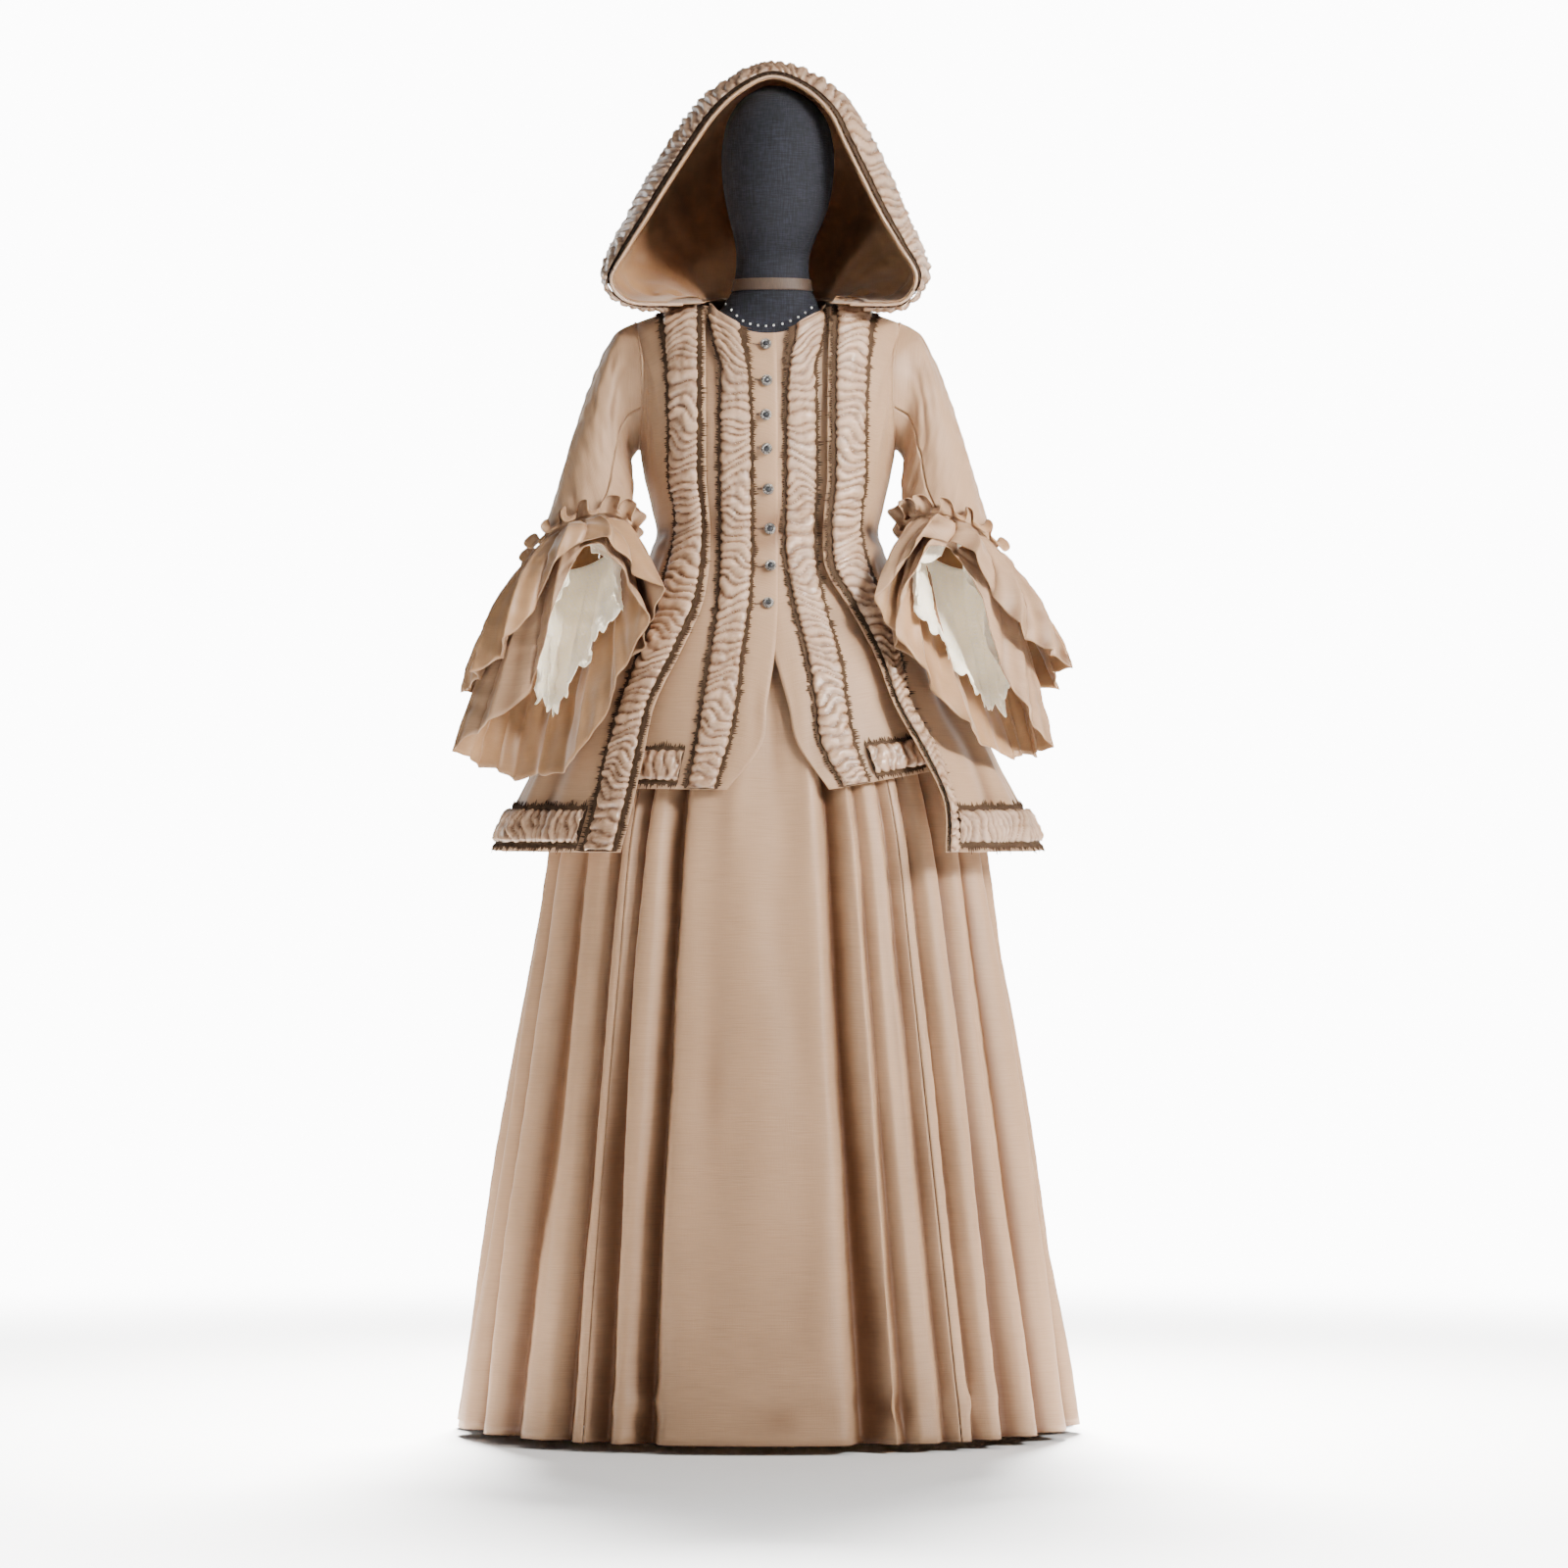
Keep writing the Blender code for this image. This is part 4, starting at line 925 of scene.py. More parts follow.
def make_satin(colours):
    """Ruched ribbon satin: bright and smooth, with fine ribs across the ribbon. Its crumple is painted
    darker in its hollows and lighter on its crests, and its gathers' hollows are darkened: painted shade and
    highlight.
    """
    f = Finish("satin")
    rib = f.noise((26, 1500, 1), detail=2.0)
    crush = f.noise((160, 420, 1), detail=3.0)
    cloud = f.noise((11, 11, 11), "Object", detail=3.0)
    tone = f.ramp(cloud, (0.25, shade(colours.satin, 0.86)), (0.75, shade(colours.satin, 1.1)))
    tone = f.mix(0.3, tone, f.ramp(rib, (0.3, shade(colours.satin, 0.78)),
                                   (0.7, shade(colours.satin, 1.16))))
    # Painted shade and highlight: the crumple's colour is darker in the hollows of its bump and lighter on
    # its crests.
    tone = f.mix(0.22, tone, f.ramp(crush, (0.35, shade(colours.satin, 0.66)),
                                    (0.65, shade(colours.satin, 1.2))))
    # Painted shade in the hollows between the gathers.
    tone = f.painted_fold_shade(tone, 0.9)
    height = f.sum((rib, 0.3), (crush, 1.0))
    return f.surface(tone, 0.27, height, 0.0005, Specular_IOR_Level=0.8)


def make_lining(colours):
    """Glazed tan lining: fine ribs across, soft wear marks, and painted shade in the valleys of its folds.
    """
    f = Finish("lining")
    rib = f.noise((24, 1300, 1), detail=2.0)
    wear = f.noise((16, 16, 16), "Object", detail=5.0)
    tone = f.ramp(wear, (0.3, shade(colours.lining, 0.74)), (0.7, shade(colours.lining, 1.14)))
    tone = f.mix(0.3, tone, f.ramp(rib, (0.35, shade(colours.lining, 0.82)),
                                   (0.65, shade(colours.lining, 1.12))))
    # Painted shade: the tone darkens in the valleys of the folds.
    tone = f.painted_fold_shade(tone, 0.6)
    return f.surface(tone, 0.42, f.sum((rib, 0.4), (wear, 0.8)), 0.0006, Sheen_Weight=0.2,
                     Specular_IOR_Level=0.45)


def make_fray(colours):
    """Frayed dark edge: loose threads that run out across the strip."""
    f = Finish("fray")
    hair = f.noise((1800, 60, 1), detail=3.0)
    knot = f.noise((500, 500, 1), detail=2.0)
    tone = f.ramp(hair, (0.25, shade(colours.fray, 0.35)), (0.55, colours.fray),
                  (0.8, shade(colours.fray, 2.4)))
    return f.surface(tone, 0.9, f.sum((hair, 1.0), (knot, 0.5)), 0.0008,
                     Specular_IOR_Level=0.1)


def make_cream(colours):
    """Embroidered cotton cuff: worked dots and leaves in rows stand up from the plain weave. A faint glow in
    its own colour is painted light, which brightens the cuff where it lies in shade.
    """
    f = Finish("cream")
    dots = f.add("TexVoronoi", {"Vector": f.place((150, 150, 1)), "Scale": 1.0,
                                "Randomness": 0.35}, feature="F1").outputs["Distance"]
    leaf = f.add("TexWave", {"Vector": f.place((52, 52, 1)), "Scale": 1.0, "Distortion": 5.0,
                             "Detail": 1.0}).outputs["Fac"]
    weave = f.noise((1600, 1600, 1), detail=2.0)
    worked = f.ramp(dots, (0.26, (1, 1, 1, 1)), (0.4, (0, 0, 0, 1)))
    tone = f.mix(worked, shade(colours.cream, 0.93), shade(colours.cream, 1.06))
    tone = f.mix(f.ramp(leaf, (0.78, (0, 0, 0, 1)), (0.9, (0.5, 0.5, 0.5, 1))), tone,
                 shade(colours.cream, 0.82))
    # Emission: painted light that lifts the shaded cuff, standing in for light through the thin cotton.
    return f.surface(tone, 0.8, f.sum((worked, 1.0), (leaf, 0.6), (weave, 0.25)), 0.0003,
                     Specular_IOR_Level=0.2, Emission_Color=shade(colours.cream, 1.0),
                     Emission_Strength=0.26)


def make_dark_cloth(colours):
    """Dark linen of the form: a plain weave, warp over weft, with a few lighter threads."""
    f = Finish("dark_cloth")
    warp = f.noise((900, 60, 60), "Object", detail=2.0)
    weft = f.noise((60, 60, 900), "Object", detail=2.0)
    cloud = f.noise((8, 8, 8), "Object", detail=3.0)
    tone = f.ramp(f.sum((warp, 0.5), (weft, 0.5)), (0.38, shade(colours.dark_cloth, 0.5)),
                  (0.5, colours.dark_cloth), (0.66, shade(colours.dark_cloth, 2.2)))
    tone = f.mix(f.ramp(cloud, (0.3, (0, 0, 0, 1)), (0.8, (0.3, 0.3, 0.3, 1))), tone,
                 shade(colours.dark_cloth, 1.5))
    return f.surface(tone, 0.82, f.sum((warp, 1.0), (weft, 1.0)), 0.0007, Sheen_Weight=0.03,
                     Specular_IOR_Level=0.25)


def make_ribbon(colours):
    """Brown ribbon with ribs across and an uneven tone."""
    f = Finish("ribbon")
    rib = f.noise((1200, 1200, 80), "Object", detail=1.0)
    cloud = f.noise((30, 30, 30), "Object")
    tone = f.mix(0.5, f.ramp(cloud, (0.3, shade(colours.ribbon, 0.8)),
                             (0.7, shade(colours.ribbon, 1.2))),
                 f.ramp(rib, (0.35, shade(colours.ribbon, 0.7)), (0.65, shade(colours.ribbon, 1.2))))
    return f.surface(tone, 0.5, rib, 0.0004, Specular_IOR_Level=0.4)


def make_metal(colours):
    """Cut steel: small facets that catch the light, with dark tarnish between them."""
    f = Finish("cut_steel")
    facet = f.add("TexVoronoi", {"Vector": f.place((700, 700, 700), "Object"), "Scale": 1.0},
                  feature="F1")
    tone = f.ramp(facet.outputs["Distance"], (0.2, (0.50, 0.48, 0.46, 1)), (0.6, (0.1, 0.09, 0.08, 1)))
    return f.surface(tone, 0.3, facet.outputs["Distance"], 0.0006, Metallic=0.9)


def make_jet(colours):
    """Black glass button centre, with small polishing marks."""
    f = Finish("black_centre")
    mark = f.noise((600, 600, 600), "Object")
    tone = f.ramp(mark, (0.3, (0.008, 0.008, 0.009, 1)), (0.75, (0.03, 0.03, 0.032, 1)))
    return f.surface(tone, 0.16, mark, 0.0002)


def make_thread(colours):
    """Dark sewing silk of the buttonholes, twisted."""
    f = Finish("dark_thread")
    twist = f.noise((900, 900, 2400), "Object")
    tone = f.ramp(twist, (0.3, shade(colours.fray, 0.8)), (0.7, shade(colours.fray, 2.6)))
    return f.surface(tone, 0.6, twist, 0.0003)


def make_pin(colours):
    """White enamelled pin heads."""
    f = Finish("pin_head")
    mark = f.noise((500, 500, 500), "Object")
    return f.surface(f.ramp(mark, (0.3, (0.70, 0.69, 0.66, 1)), (0.7, (0.86, 0.85, 0.82, 1))),
                     0.3, mark, 0.0001)


def make_stand(colours):
    """Black painted steel: fine orange peel, small scuffs."""
    f = Finish("painted_steel")
    peel = f.noise((400, 400, 400), "Object")
    scuff = f.noise((30, 30, 60), "Object", detail=6.0)
    tone = f.ramp(scuff, (0.4, (0.028, 0.028, 0.03, 1)), (0.75, (0.07, 0.07, 0.072, 1)))
    rough = f.ramp(scuff, (0.4, (0.36, 0.36, 0.36, 1)), (0.8, (0.6, 0.6, 0.6, 1)))
    return f.surface(tone, rough, peel, 0.0002, Metallic=0.5)


def make_floor(colours):
    """Matt paper, all but white, with a faint grain. It fades out into the white room."""
    f = Finish("paper")
    far = f.add("VectorMath", {0: f.coordinates.outputs["Object"]}, operation="LENGTH")
    fade = f.add("MapRange", {"Value": far.outputs["Value"], "From Min": 3.2, "From Max": 1.3},
                 interpolation_type="SMOOTHSTEP")
    f.join(f.shader.inputs["Alpha"], fade.outputs["Result"])
    grain = f.noise((60, 60, 60), "Object", detail=4.0)
    return f.surface(f.ramp(grain, (0.3, (0.92, 0.92, 0.92, 1)), (0.7, (0.95, 0.95, 0.95, 1))),
                     0.85, grain, 0.0002)


MAKERS = {
    "silk": make_silk, "satin": make_satin, "lining": make_lining, "fray": make_fray,
    "cream": make_cream, "dark_cloth": make_dark_cloth, "ribbon": make_ribbon,
    "cut_steel": make_metal, "black_centre": make_jet, "dark_thread": make_thread,
    "pin_head": make_pin, "painted_steel": make_stand, "paper": make_floor,
}

# Sizes and colours

def cloth_colour(name, description, *tone):
    """A colour of the panel, with its usual tone."""
    return bpy.props.FloatVectorProperty(name=name, description=description, subtype="COLOR",
                                         size=4, min=0, max=1, default=(*tone, 1))


def small_length(name, description, usual, least, most):
    """A length of the panel in metres."""
    return bpy.props.FloatProperty(name=name, description=description, default=usual, min=least,
                                   max=most, unit="LENGTH")


class EnsembleColours(bpy.types.PropertyGroup):
    """Colours of the cloths, and how full the gathered parts are."""
    silk: cloth_colour("Silk", "Ribbed silk of the skirt, jacket and hood", 0.355, 0.216, 0.127)
    satin: cloth_colour("Ruched satin", "Satin of the gathered bands", 0.440, 0.275, 0.170)
    lining: cloth_colour("Lining", "Glazed tan lining of the hood and flounces", 0.350, 0.190, 0.088)
    fray: cloth_colour("Frayed edge", "Dark frayed strips beside the satin", 0.085, 0.050, 0.029)
    cream: cloth_colour("Cuff", "Embroidered cotton of the inner cuffs", 0.97, 0.87, 0.69)
    dark_cloth: cloth_colour("Form", "Dark linen that covers the dress form", 0.009, 0.0095, 0.014)
    ribbon: cloth_colour("Ribbon", "Ribbon round the form's neck", 0.062, 0.038, 0.025)
    gather_step: small_length(
        "Gather step", "Mean distance between gathers of the satin", 0.0125, 0.004, 0.03)
    gather_rise: small_length(
        "Gather height", "Height of the satin's gathers", 0.0072, 0.0, 0.012)
    fringe: small_length(
        "Fringe length", "Longest loose threads of the frayed edges", 0.006, 0.0, 0.02)
    fine_folds: small_length(
        "Crumple", "Height of the small uneven waves of the silk", 0.0010, 0.0, 0.005)


def colours():
    return bpy.context.scene.ensemble_colours


def crumple():
    """Height of the silk's small waves in millimetres."""
    return colours().fine_folds / MM


# Skirt

# Steps between two columns, rows, millimetres round for a radian, and shares of the smooth and
# the straight grid
SKIRT_FINE, SKIRT_ROWS, SKIRT_ROUND = 7, 118, 300
SMOOTH_SHARE, STRAIGHT_SHARE = 0.72, 0.28
SKIRT_CREASE_DEPTH = 1.7
ALLOWANCE_REACH, ALLOWANCE_IN = 5, 1.9


def skirt_columns():
    """Columns of the skirt: top angle, hem angle, valley depth and its share at the top."""
    columns = []
    for top, hem, half, depth, share in SKIRT_FOLDS.rows:
        columns += [(top - half, hem - half, 0, share), (top, hem, depth, share),
                    (top + half, hem + half, 0, share)]
    columns.sort(key=lambda column: column[1])
    columns.append((columns[0][0] + 360, columns[0][1] + 360, 0, columns[0][3]))
    filled = []
    for here, there in zip(columns, columns[1:]):
        filled.append(here)
        extra = int((there[1] - here[1]) // 9)
        for k in range(1, extra + 1):
            share = k / (extra + 1)
            filled.append((here[0] + (there[0] - here[0]) * share,
                           here[1] + (there[1] - here[1]) * share, 0, here[3]))
    filled.append(columns[-1])
    return filled


def skirt_grid(columns, heights):
    """Rings of the skirt: each column runs from its top angle to its hem angle and stands in by
    its valley's depth, which fades into the gathered top."""
    heights = np.array(heights, float)
    down = (SKIRT_HEIGHTS[-1] - heights) / (SKIRT_HEIGHTS[-1] - SKIRT_HEIGHTS[0])
    grid = []
    for top, hem, depth, share in columns:
        angle = top + (hem - top) * down
        narrow = SKIRT.at("half_width", heights) / SKIRT.at("half_width", SKIRT_HEIGHTS[0])
        valley = depth * (share + (1 - share) * down) * np.minimum(1, 0.25 + 1.1 * narrow)
        valley = valley * np.clip((SKIRT_HEIGHTS[-1] - heights) / GATHERED_LENGTH, 0, 1)
        grid.append(ring(SKIRT, heights, angle, -valley))
    return np.stack(grid, 1)


def nearest_column(columns, angle):
    places = [(abs(column[1] - angle), i) for i, column in enumerate(columns) if not column[2]]
    return min(places)[1]


# Folds on the skirt besides the deep ones: place round the skirt (degrees at the hem), height,
# turn from the level, length, half width, depth and bow, in millimetres
SKIRT_CREASES = (
    (-9, 560, 91, 640, 20, -3.5, 6), (-2, 330, 87, 520, 26, 3.0, -8), (6, 620, 92, 560, 22, -3.0, 5),
    (11, 250, 86, 420, 18, 2.6, 4), (-14, 240, 93, 460, 18, 3.2, 6), (-5, 860, 88, 330, 14, 2.2, 0),
    (3, 905, 94, 240, 10, -2.2, 0), (12, 840, 88, 300, 12, 2.4, 3), (-27.5, 520, 91, 720, 12, 3.4, 4),
    (-34, 300, 89, 560, 12, -3.2, -6), (-48, 420, 92, 760, 16, -5.0, 8), (-60, 300, 88, 520, 16, 4.2, 0),
    (-79, 420, 90, 700, 18, -5.0, 8), (-97, 360, 91, 620, 18, 4.4, -6), (-113, 460, 89, 720, 18, -4.6, 5),
    (-132, 380, 91, 640, 18, 4.4, 6), (-149, 460, 89, 720, 18, -4.8, 0), (-165, 380, 92, 620, 18, 4.4, -5),
    (20.5, 520, 90, 700, 10, 2.8, 3), (28.5, 420, 91, 720, 10, -2.8, -3), (36.5, 380, 89, 600, 9, 2.4, 2),
    (45, 420, 90, 720, 13, 3.6, 4), (57, 420, 89, 680, 15, -4.2, 6), (70, 380, 91, 640, 16, 4.2, -4),
    (86, 420, 90, 700, 18, -5.0, 7), (101, 420, 89, 660, 18, 4.6, 0), (117, 380, 91, 640, 18, -4.6, 6),
    (135, 420, 90, 700, 18, 4.4, 5), (153, 420, 89, 680, 18, -4.6, -5), (170, 380, 91, 640, 18, 4.2, 4),
    (-7, 70, 12, 90, 14, 2.6, 4), (4, 48, -8, 120, 16, -2.4, 0), (-21, 60, 6, 110, 12, 2.4, 3),
    (24, 55, -6, 130, 14, -2.4, 2), (39, 60, 8, 110, 12, 2.4, 0),
)


class COSTUME_OT_skirt(bpy.types.Operator):
    """Makes the five panels of the skirt and its waistband"""
    bl_idname = "costume.skirt"
    bl_label = "Skirt"

    def execute(self, context):
        columns = skirt_columns()
        seam = {name: nearest_column(columns, angle) * SKIRT_FINE
                for name, angle in SKIRT_SEAMS.items()}
        grid = skirt_surface(columns)
        add_breadths(grid, seam)
        add_seam_allowances(grid, seam)
        add_waistband()
        return {"FINISHED"}


def skirt_surface(columns):
    """The whole skirt, pressed into its folds."""
    last = len(columns) - 1
    coarse = skirt_grid(columns, SKIRT_HEIGHTS)
    # The panels' deep folds stay sharp at their ridges: half smooth, half straight between
    rows = np.linspace(0, len(SKIRT_HEIGHTS) - 1, SKIRT_ROWS)
    places = np.linspace(0, last, last * SKIRT_FINE + 1)
    grid = refine(coarse, rows, places) * SMOOTH_SHARE \
        + refine_straight(coarse, rows, places) * STRAIGHT_SHARE
    angle = np.interp(places, np.arange(last + 1), [column[1] for column in columns])
    height = grid[..., 2]
    arc = np.radians(angle)[None, :] * SKIRT_ROUND + 0 * height
    table = [(math.radians(turn) * SKIRT_ROUND, *rest[:4], SKIRT_CREASE_DEPTH * rest[4], rest[5])
             for turn, *rest in SKIRT_CREASES]
    fade = np.clip((1110 - height) / 160, 0, 1)
    lift = creases(arc, height, table) * fade
    lift += crumple() * soft_noise(arc, height * 0.45, 120, 3) * fade
    lift += 0.5 * crumple() * soft_noise(arc, height * 0.7, 46, 4) * fade
    edge = np.clip((height - 12) / 30, 0.25, 1)
    return grid + normals(grid, from_axis) * (lift * edge)[..., None]


def add_breadths(grid, seam):
    for name, first, end in (("skirt_side_left", "back_left", "left"),
                             ("skirt_front", "left", "right"),
                             ("skirt_side_right", "right", "back_right"),
                             ("skirt_back_left", None, "back_left"),
                             ("skirt_back_right", "back_right", None)):
        a, b = seam.get(first, 0), seam.get(end, grid.shape[1] - 1)
        # The folds are the reach and depth of the painted shade in the skirt's valleys.
        add_panel(name, drawn_in(grid[:, a:b + 1], SEAM_GAP), from_axis,
                  folds=(10, 6.0))


def add_seam_allowances(grid, seam):
    """A strip of cloth inside each seam of the skirt, the centre back's last."""
    reach = ALLOWANCE_REACH
    around = np.concatenate([grid[:, -reach - 1:-1], grid[:, :reach + 1]], 1)
    tapes = [grid[:, middle - reach:middle + reach + 1] for middle in seam.values()] + [around]
    beside = ("front", "side_left", "front", "side_right", "back_left")
    for number, (tape, neighbour) in enumerate(zip(tapes, beside), 1):
        tape = (tape - normals(tape, from_axis) * ALLOWANCE_IN)[2:-2:2]
        # A deep of 1 all over paints the allowances wholly in shade.
        piece = wall(f"skirt_seam_{number}_allowance", tape, TAPE_WALL, from_axis,
                     finish("lining"), finish("lining"), deep=np.ones(tape.shape[:2]))
        declare_cloth(tape)
        own(piece, "lining")


def add_waistband():
    turns = np.arange(0, 360, 4.0)
    heights = np.linspace(1123, 1150, 6)[:, None]
    band = ring(SKIRT, np.full((6, 1), 1122.0), turns[None, :] + 0 * heights, -1.5)
    band[..., 2] = heights
    piece = wall("skirt_waistband_cloth", band, WAISTBAND_WALL, from_axis, finish("silk"),
                 finish("lining"), closed=True)
    declare_cloth(band, closed=True)
    own(piece, "cloth", "skirt_waistband")


def refine_straight(grid, rows, columns):
    """The grid at finer rows and columns, straight between its own points."""
    def along(values, places):
        first = np.clip(np.floor(places).astype(int), 0, len(values) - 2)
        share = (places - first)[:, None, None]
        return values[first] * (1 - share) + values[first + 1] * share
    return np.swapaxes(along(np.swapaxes(along(grid, rows), 0, 1), columns), 0, 1)


def drawn_in(panel, gap):
    """A panel whose two seam edges, and its top, stand back from the seam by half the gap."""
    def drawn(edge, neighbour):
        step = neighbour - edge
        far = np.linalg.norm(step, axis=1, keepdims=True)
        return edge + step / far * np.minimum(gap / 2, 0.45 * far)

    panel = panel.copy()
    panel[:, 0] = drawn(panel[:, 0], panel[:, 1])
    panel[:, -1] = drawn(panel[:, -1], panel[:, -2])
    panel[-1] = drawn(panel[-1], panel[-2])
    return panel


def add_panel(node, grid, outward, outer="silk", inner="lining",
              thickness=SILK_WALL, closed=False, slot="cloth", folds=(3, 2.2), cut=None, strip=False):
    """A cut piece of cloth in place of its node; folds are the steps and the depth by which its valleys are
    told, and its finishes paint shade into those valleys."""
    piece = wall(node + "_cloth", grid, thickness, outward, finish(outer), finish(inner), closed,
                 valleys(grid, outward, *folds, closed))
    declare_cloth(grid, closed, cut, strip)
    return own(piece, slot, node)


# Bands of ruched satin on frayed strips

FINE = 6


class FineSheet:
    """A sheet smoothed to FINE steps between its own rows and columns, pressed into folds. It
    takes places in the rows and columns of the first grid. Its top edge keeps sharp corners at
    the columns named as corners."""

    def __init__(self, sheet, inside, fold=None, corners=()):
        rows, columns = sheet.points.shape[:2]
        self.rows = np.linspace(0, rows - 1, (rows - 1) * FINE + 1)
        self.columns = np.linspace(0, columns - 1, (columns - 1) * FINE + 1)
        points = refine(sheet.points, self.rows, self.columns)
        if corners:
            edge = []
            for first, last in zip(corners[:-1], corners[1:]):
                part = self.columns[(self.columns >= first) & (self.columns < last)]
                edge.append(spline(sheet.points[-1, first:last + 1], part - first))
            edge = np.concatenate(edge + [sheet.points[-1, -1:]])
            share = np.clip(self.rows - (rows - 2), 0, 1)[:, None, None]
            points = points + share * (edge - points[-1])
        if fold is not None:
            plain = Sheet(points, inside)
            points = points + plain.normal * fold(points, self.rows, self.columns)[..., None]
        self.sheet = Sheet(points, inside)

    def at(self, row, column, out=0.0):
        return self.sheet.at(np.asarray(row, float) * FINE, np.asarray(column, float) * FINE, out)

    def panel(self, first=None, last=None):
        a = 0 if first is None else first * FINE
        b = len(self.columns) - 1 if last is None else last * FINE
        return self.sheet.points[:, a:b + 1]


class Band:
    """A strip on a sheet. At each place along it, low, middle and high are its two sides and the
    line between them. It runs up the sheet where it is upright, or else along its rows."""

    def __init__(self, sheet, along, low, middle, high, upright, lift):
        self.sheet, self.along, self.upright = sheet, along, upright
        self.low, self.middle, self.high = low, middle, high
        self.lift = np.broadcast_to(lift, along.shape).astype(float)

    def stations(self, step):
        """Places along the band at an even step in millimetres, and how far along they lie."""
        fine = np.linspace(self.along[0], self.along[-1], 900)
        centre = np.interp(fine, self.along, self.middle)
        line = self.sheet.at(fine, centre) if self.upright else self.sheet.at(centre, fine)
        steps = np.linalg.norm(np.diff(line, axis=0), axis=1)
        far = np.concatenate([[0.0], np.cumsum(steps)])
        run = np.linspace(0, far[-1], max(8, int(far[-1] / step)) + 1)
        return np.interp(run, far, fine), run

    def at(self, places, t, out):
        """Points at shares t of the way across, moved out."""
        a, b, c = (np.interp(places, self.along, side)[:, None]
                   for side in (self.low, self.middle, self.high))
        t = np.broadcast_to(t, out.shape)
        across = np.where(t < 0.5, a + (b - a) * 2 * t, b + (c - b) * (2 * t - 1))
        places = places[:, None] + 0 * across
        if self.upright:
            return self.sheet.at(places, across, out)
        return self.sheet.at(across, places, out)

    def width(self, places):
        flat = np.zeros((len(places), 1))
        step = self.at(places, np.array([[0.0]]), flat) - self.at(places, np.array([[1.0]]), flat)
        return np.linalg.norm(step, axis=2)

    def raised(self, places):
        return np.interp(places, self.along, self.lift)[:, None]


# Steps along the frayed and the satin strip, how far they stand off the cloth, and points across
FRAY_STEP, FRAY_OUT, SATIN_STEP, SATIN_OUT, SATIN_ACROSS = 1.5, 1.9, 1.8, 3.3, 14


def add_band(name, rests_on, sheet, outward, along, low, middle, high, upright, lift=0.0,
             seed=1, inset=0.15):
    """A frayed strip and, on it, a ruched satin strip that is narrower by inset on each side."""
    band = Band(sheet, along, low, middle, high, upright, lift)
    add_fray(name, band, outward, seed, inset)
    add_satin(name, band, outward, seed, inset)


def add_fray(name, band, outward, seed, inset):
    """The strip's two edges run out and in from thread to thread; its cut is even."""
    rng = np.random.default_rng(seed)
    places, run = band.stations(FRAY_STEP)
    thread = colours().fringe / MM / np.maximum(band.width(places), 10)
    clump = 0.5 + 0.5 * np.sin(run[:, None] / np.array([[5.1, 4.3]]) + 2.0 * np.sin(run[:, None] / 17))
    long = rng.random((len(run), 2)) ** 0.8 * (0.55 + 0.45 * clump)
    long[::2] *= 0.2
    near, far = thread * (1.0 - 1.9 * long[:, :1]), 1 - thread * (1.0 - 1.9 * long[:, 1:])
    share = np.array([[0.0, 0.45, 1.0]])
    edge = inset - 0.01
    t = np.concatenate([near + (edge - near) * share, 0.5 + 0 * near,
                        far + (1 - edge - far) * share[:, ::-1]], 1)
    loose = np.array([4.0, 2.2, 0, 0, 0, 2.2, 4.0])
    out = FRAY_OUT + band.raised(places) + 0.5 * rng.random(t.shape) * loose
    piece = wall(name + "_fray_cloth", band.at(places, t, out), FRAY_WALL, outward,
                 finish("fray"), finish("fray"))
    even = np.linspace(0, 1, 9)[None, :] + 0 * run[:, None]
    declare_cloth(band.at(places, even, FRAY_OUT + 0 * even))
    own(piece, "fray", name + "_fray")


def add_satin(name, band, outward, seed, inset):
    """The satin stands off by a body of sin(pi t)^0.4 and by its gathers, across t from 0 to 1,
    less a trough along its stitched middle."""
    width = np.mean(band.width(band.stations(FRAY_STEP)[0]))
    places, run = band.stations(SATIN_STEP)
    t = np.linspace(0, 1, SATIN_ACROSS)[None, :] + 0 * run[:, None]
    inner = inset + (1 - 2 * inset) * t
    step = colours().gather_step / MM
    hill = gathers(run[:, None], t, step, seed + 7, 0.6)
    small = gathers(run[:, None], t + 0.3, step * 0.5, seed + 11, 0.9)
    span = t * width
    crush = 1 - np.abs(soft_noise(run[:, None], span * 1.5, 19.0, seed + 13))
    crush *= 1 - np.abs(soft_noise(run[:, None], span, 11.0, seed + 17)) * 0.6
    body = np.sin(math.pi * np.clip(t, 0.0, 1.0)) ** 0.40
    stitched = np.exp(-((t - 0.5) / 0.05) ** 2)
    rise = colours().gather_rise / MM * (0.85 * hill + 0.3 * small + 0.22 * crush)
    rise *= 0.2 + 0.8 * body
    out = SATIN_OUT + 1.2 * body + rise * (1 - 0.3 * stitched) - 0.4 * stitched \
        + band.raised(places)
    pull = 0.05 * (1 - hill) * (1 - 2 * t) + 0.02 * (0.5 - small) * (1 - 2 * t)
    satin = band.at(places, np.clip(inner + pull, 0, 1), out)
    # deep is painted shade: the satin darkens in the hollows between its gathers and crumples.
    deep = np.clip(1.25 - 1.9 * (0.7 * hill + 0.2 * small + 0.2 * crush), 0, 1)
    piece = wall(name + "_satin", satin, SATIN_WALL, outward, finish("satin"), finish("satin"),
                 deep=deep)
    declare_cloth(satin)
    own(piece, "satin", name + "_ruching")


# Waistcoat fronts

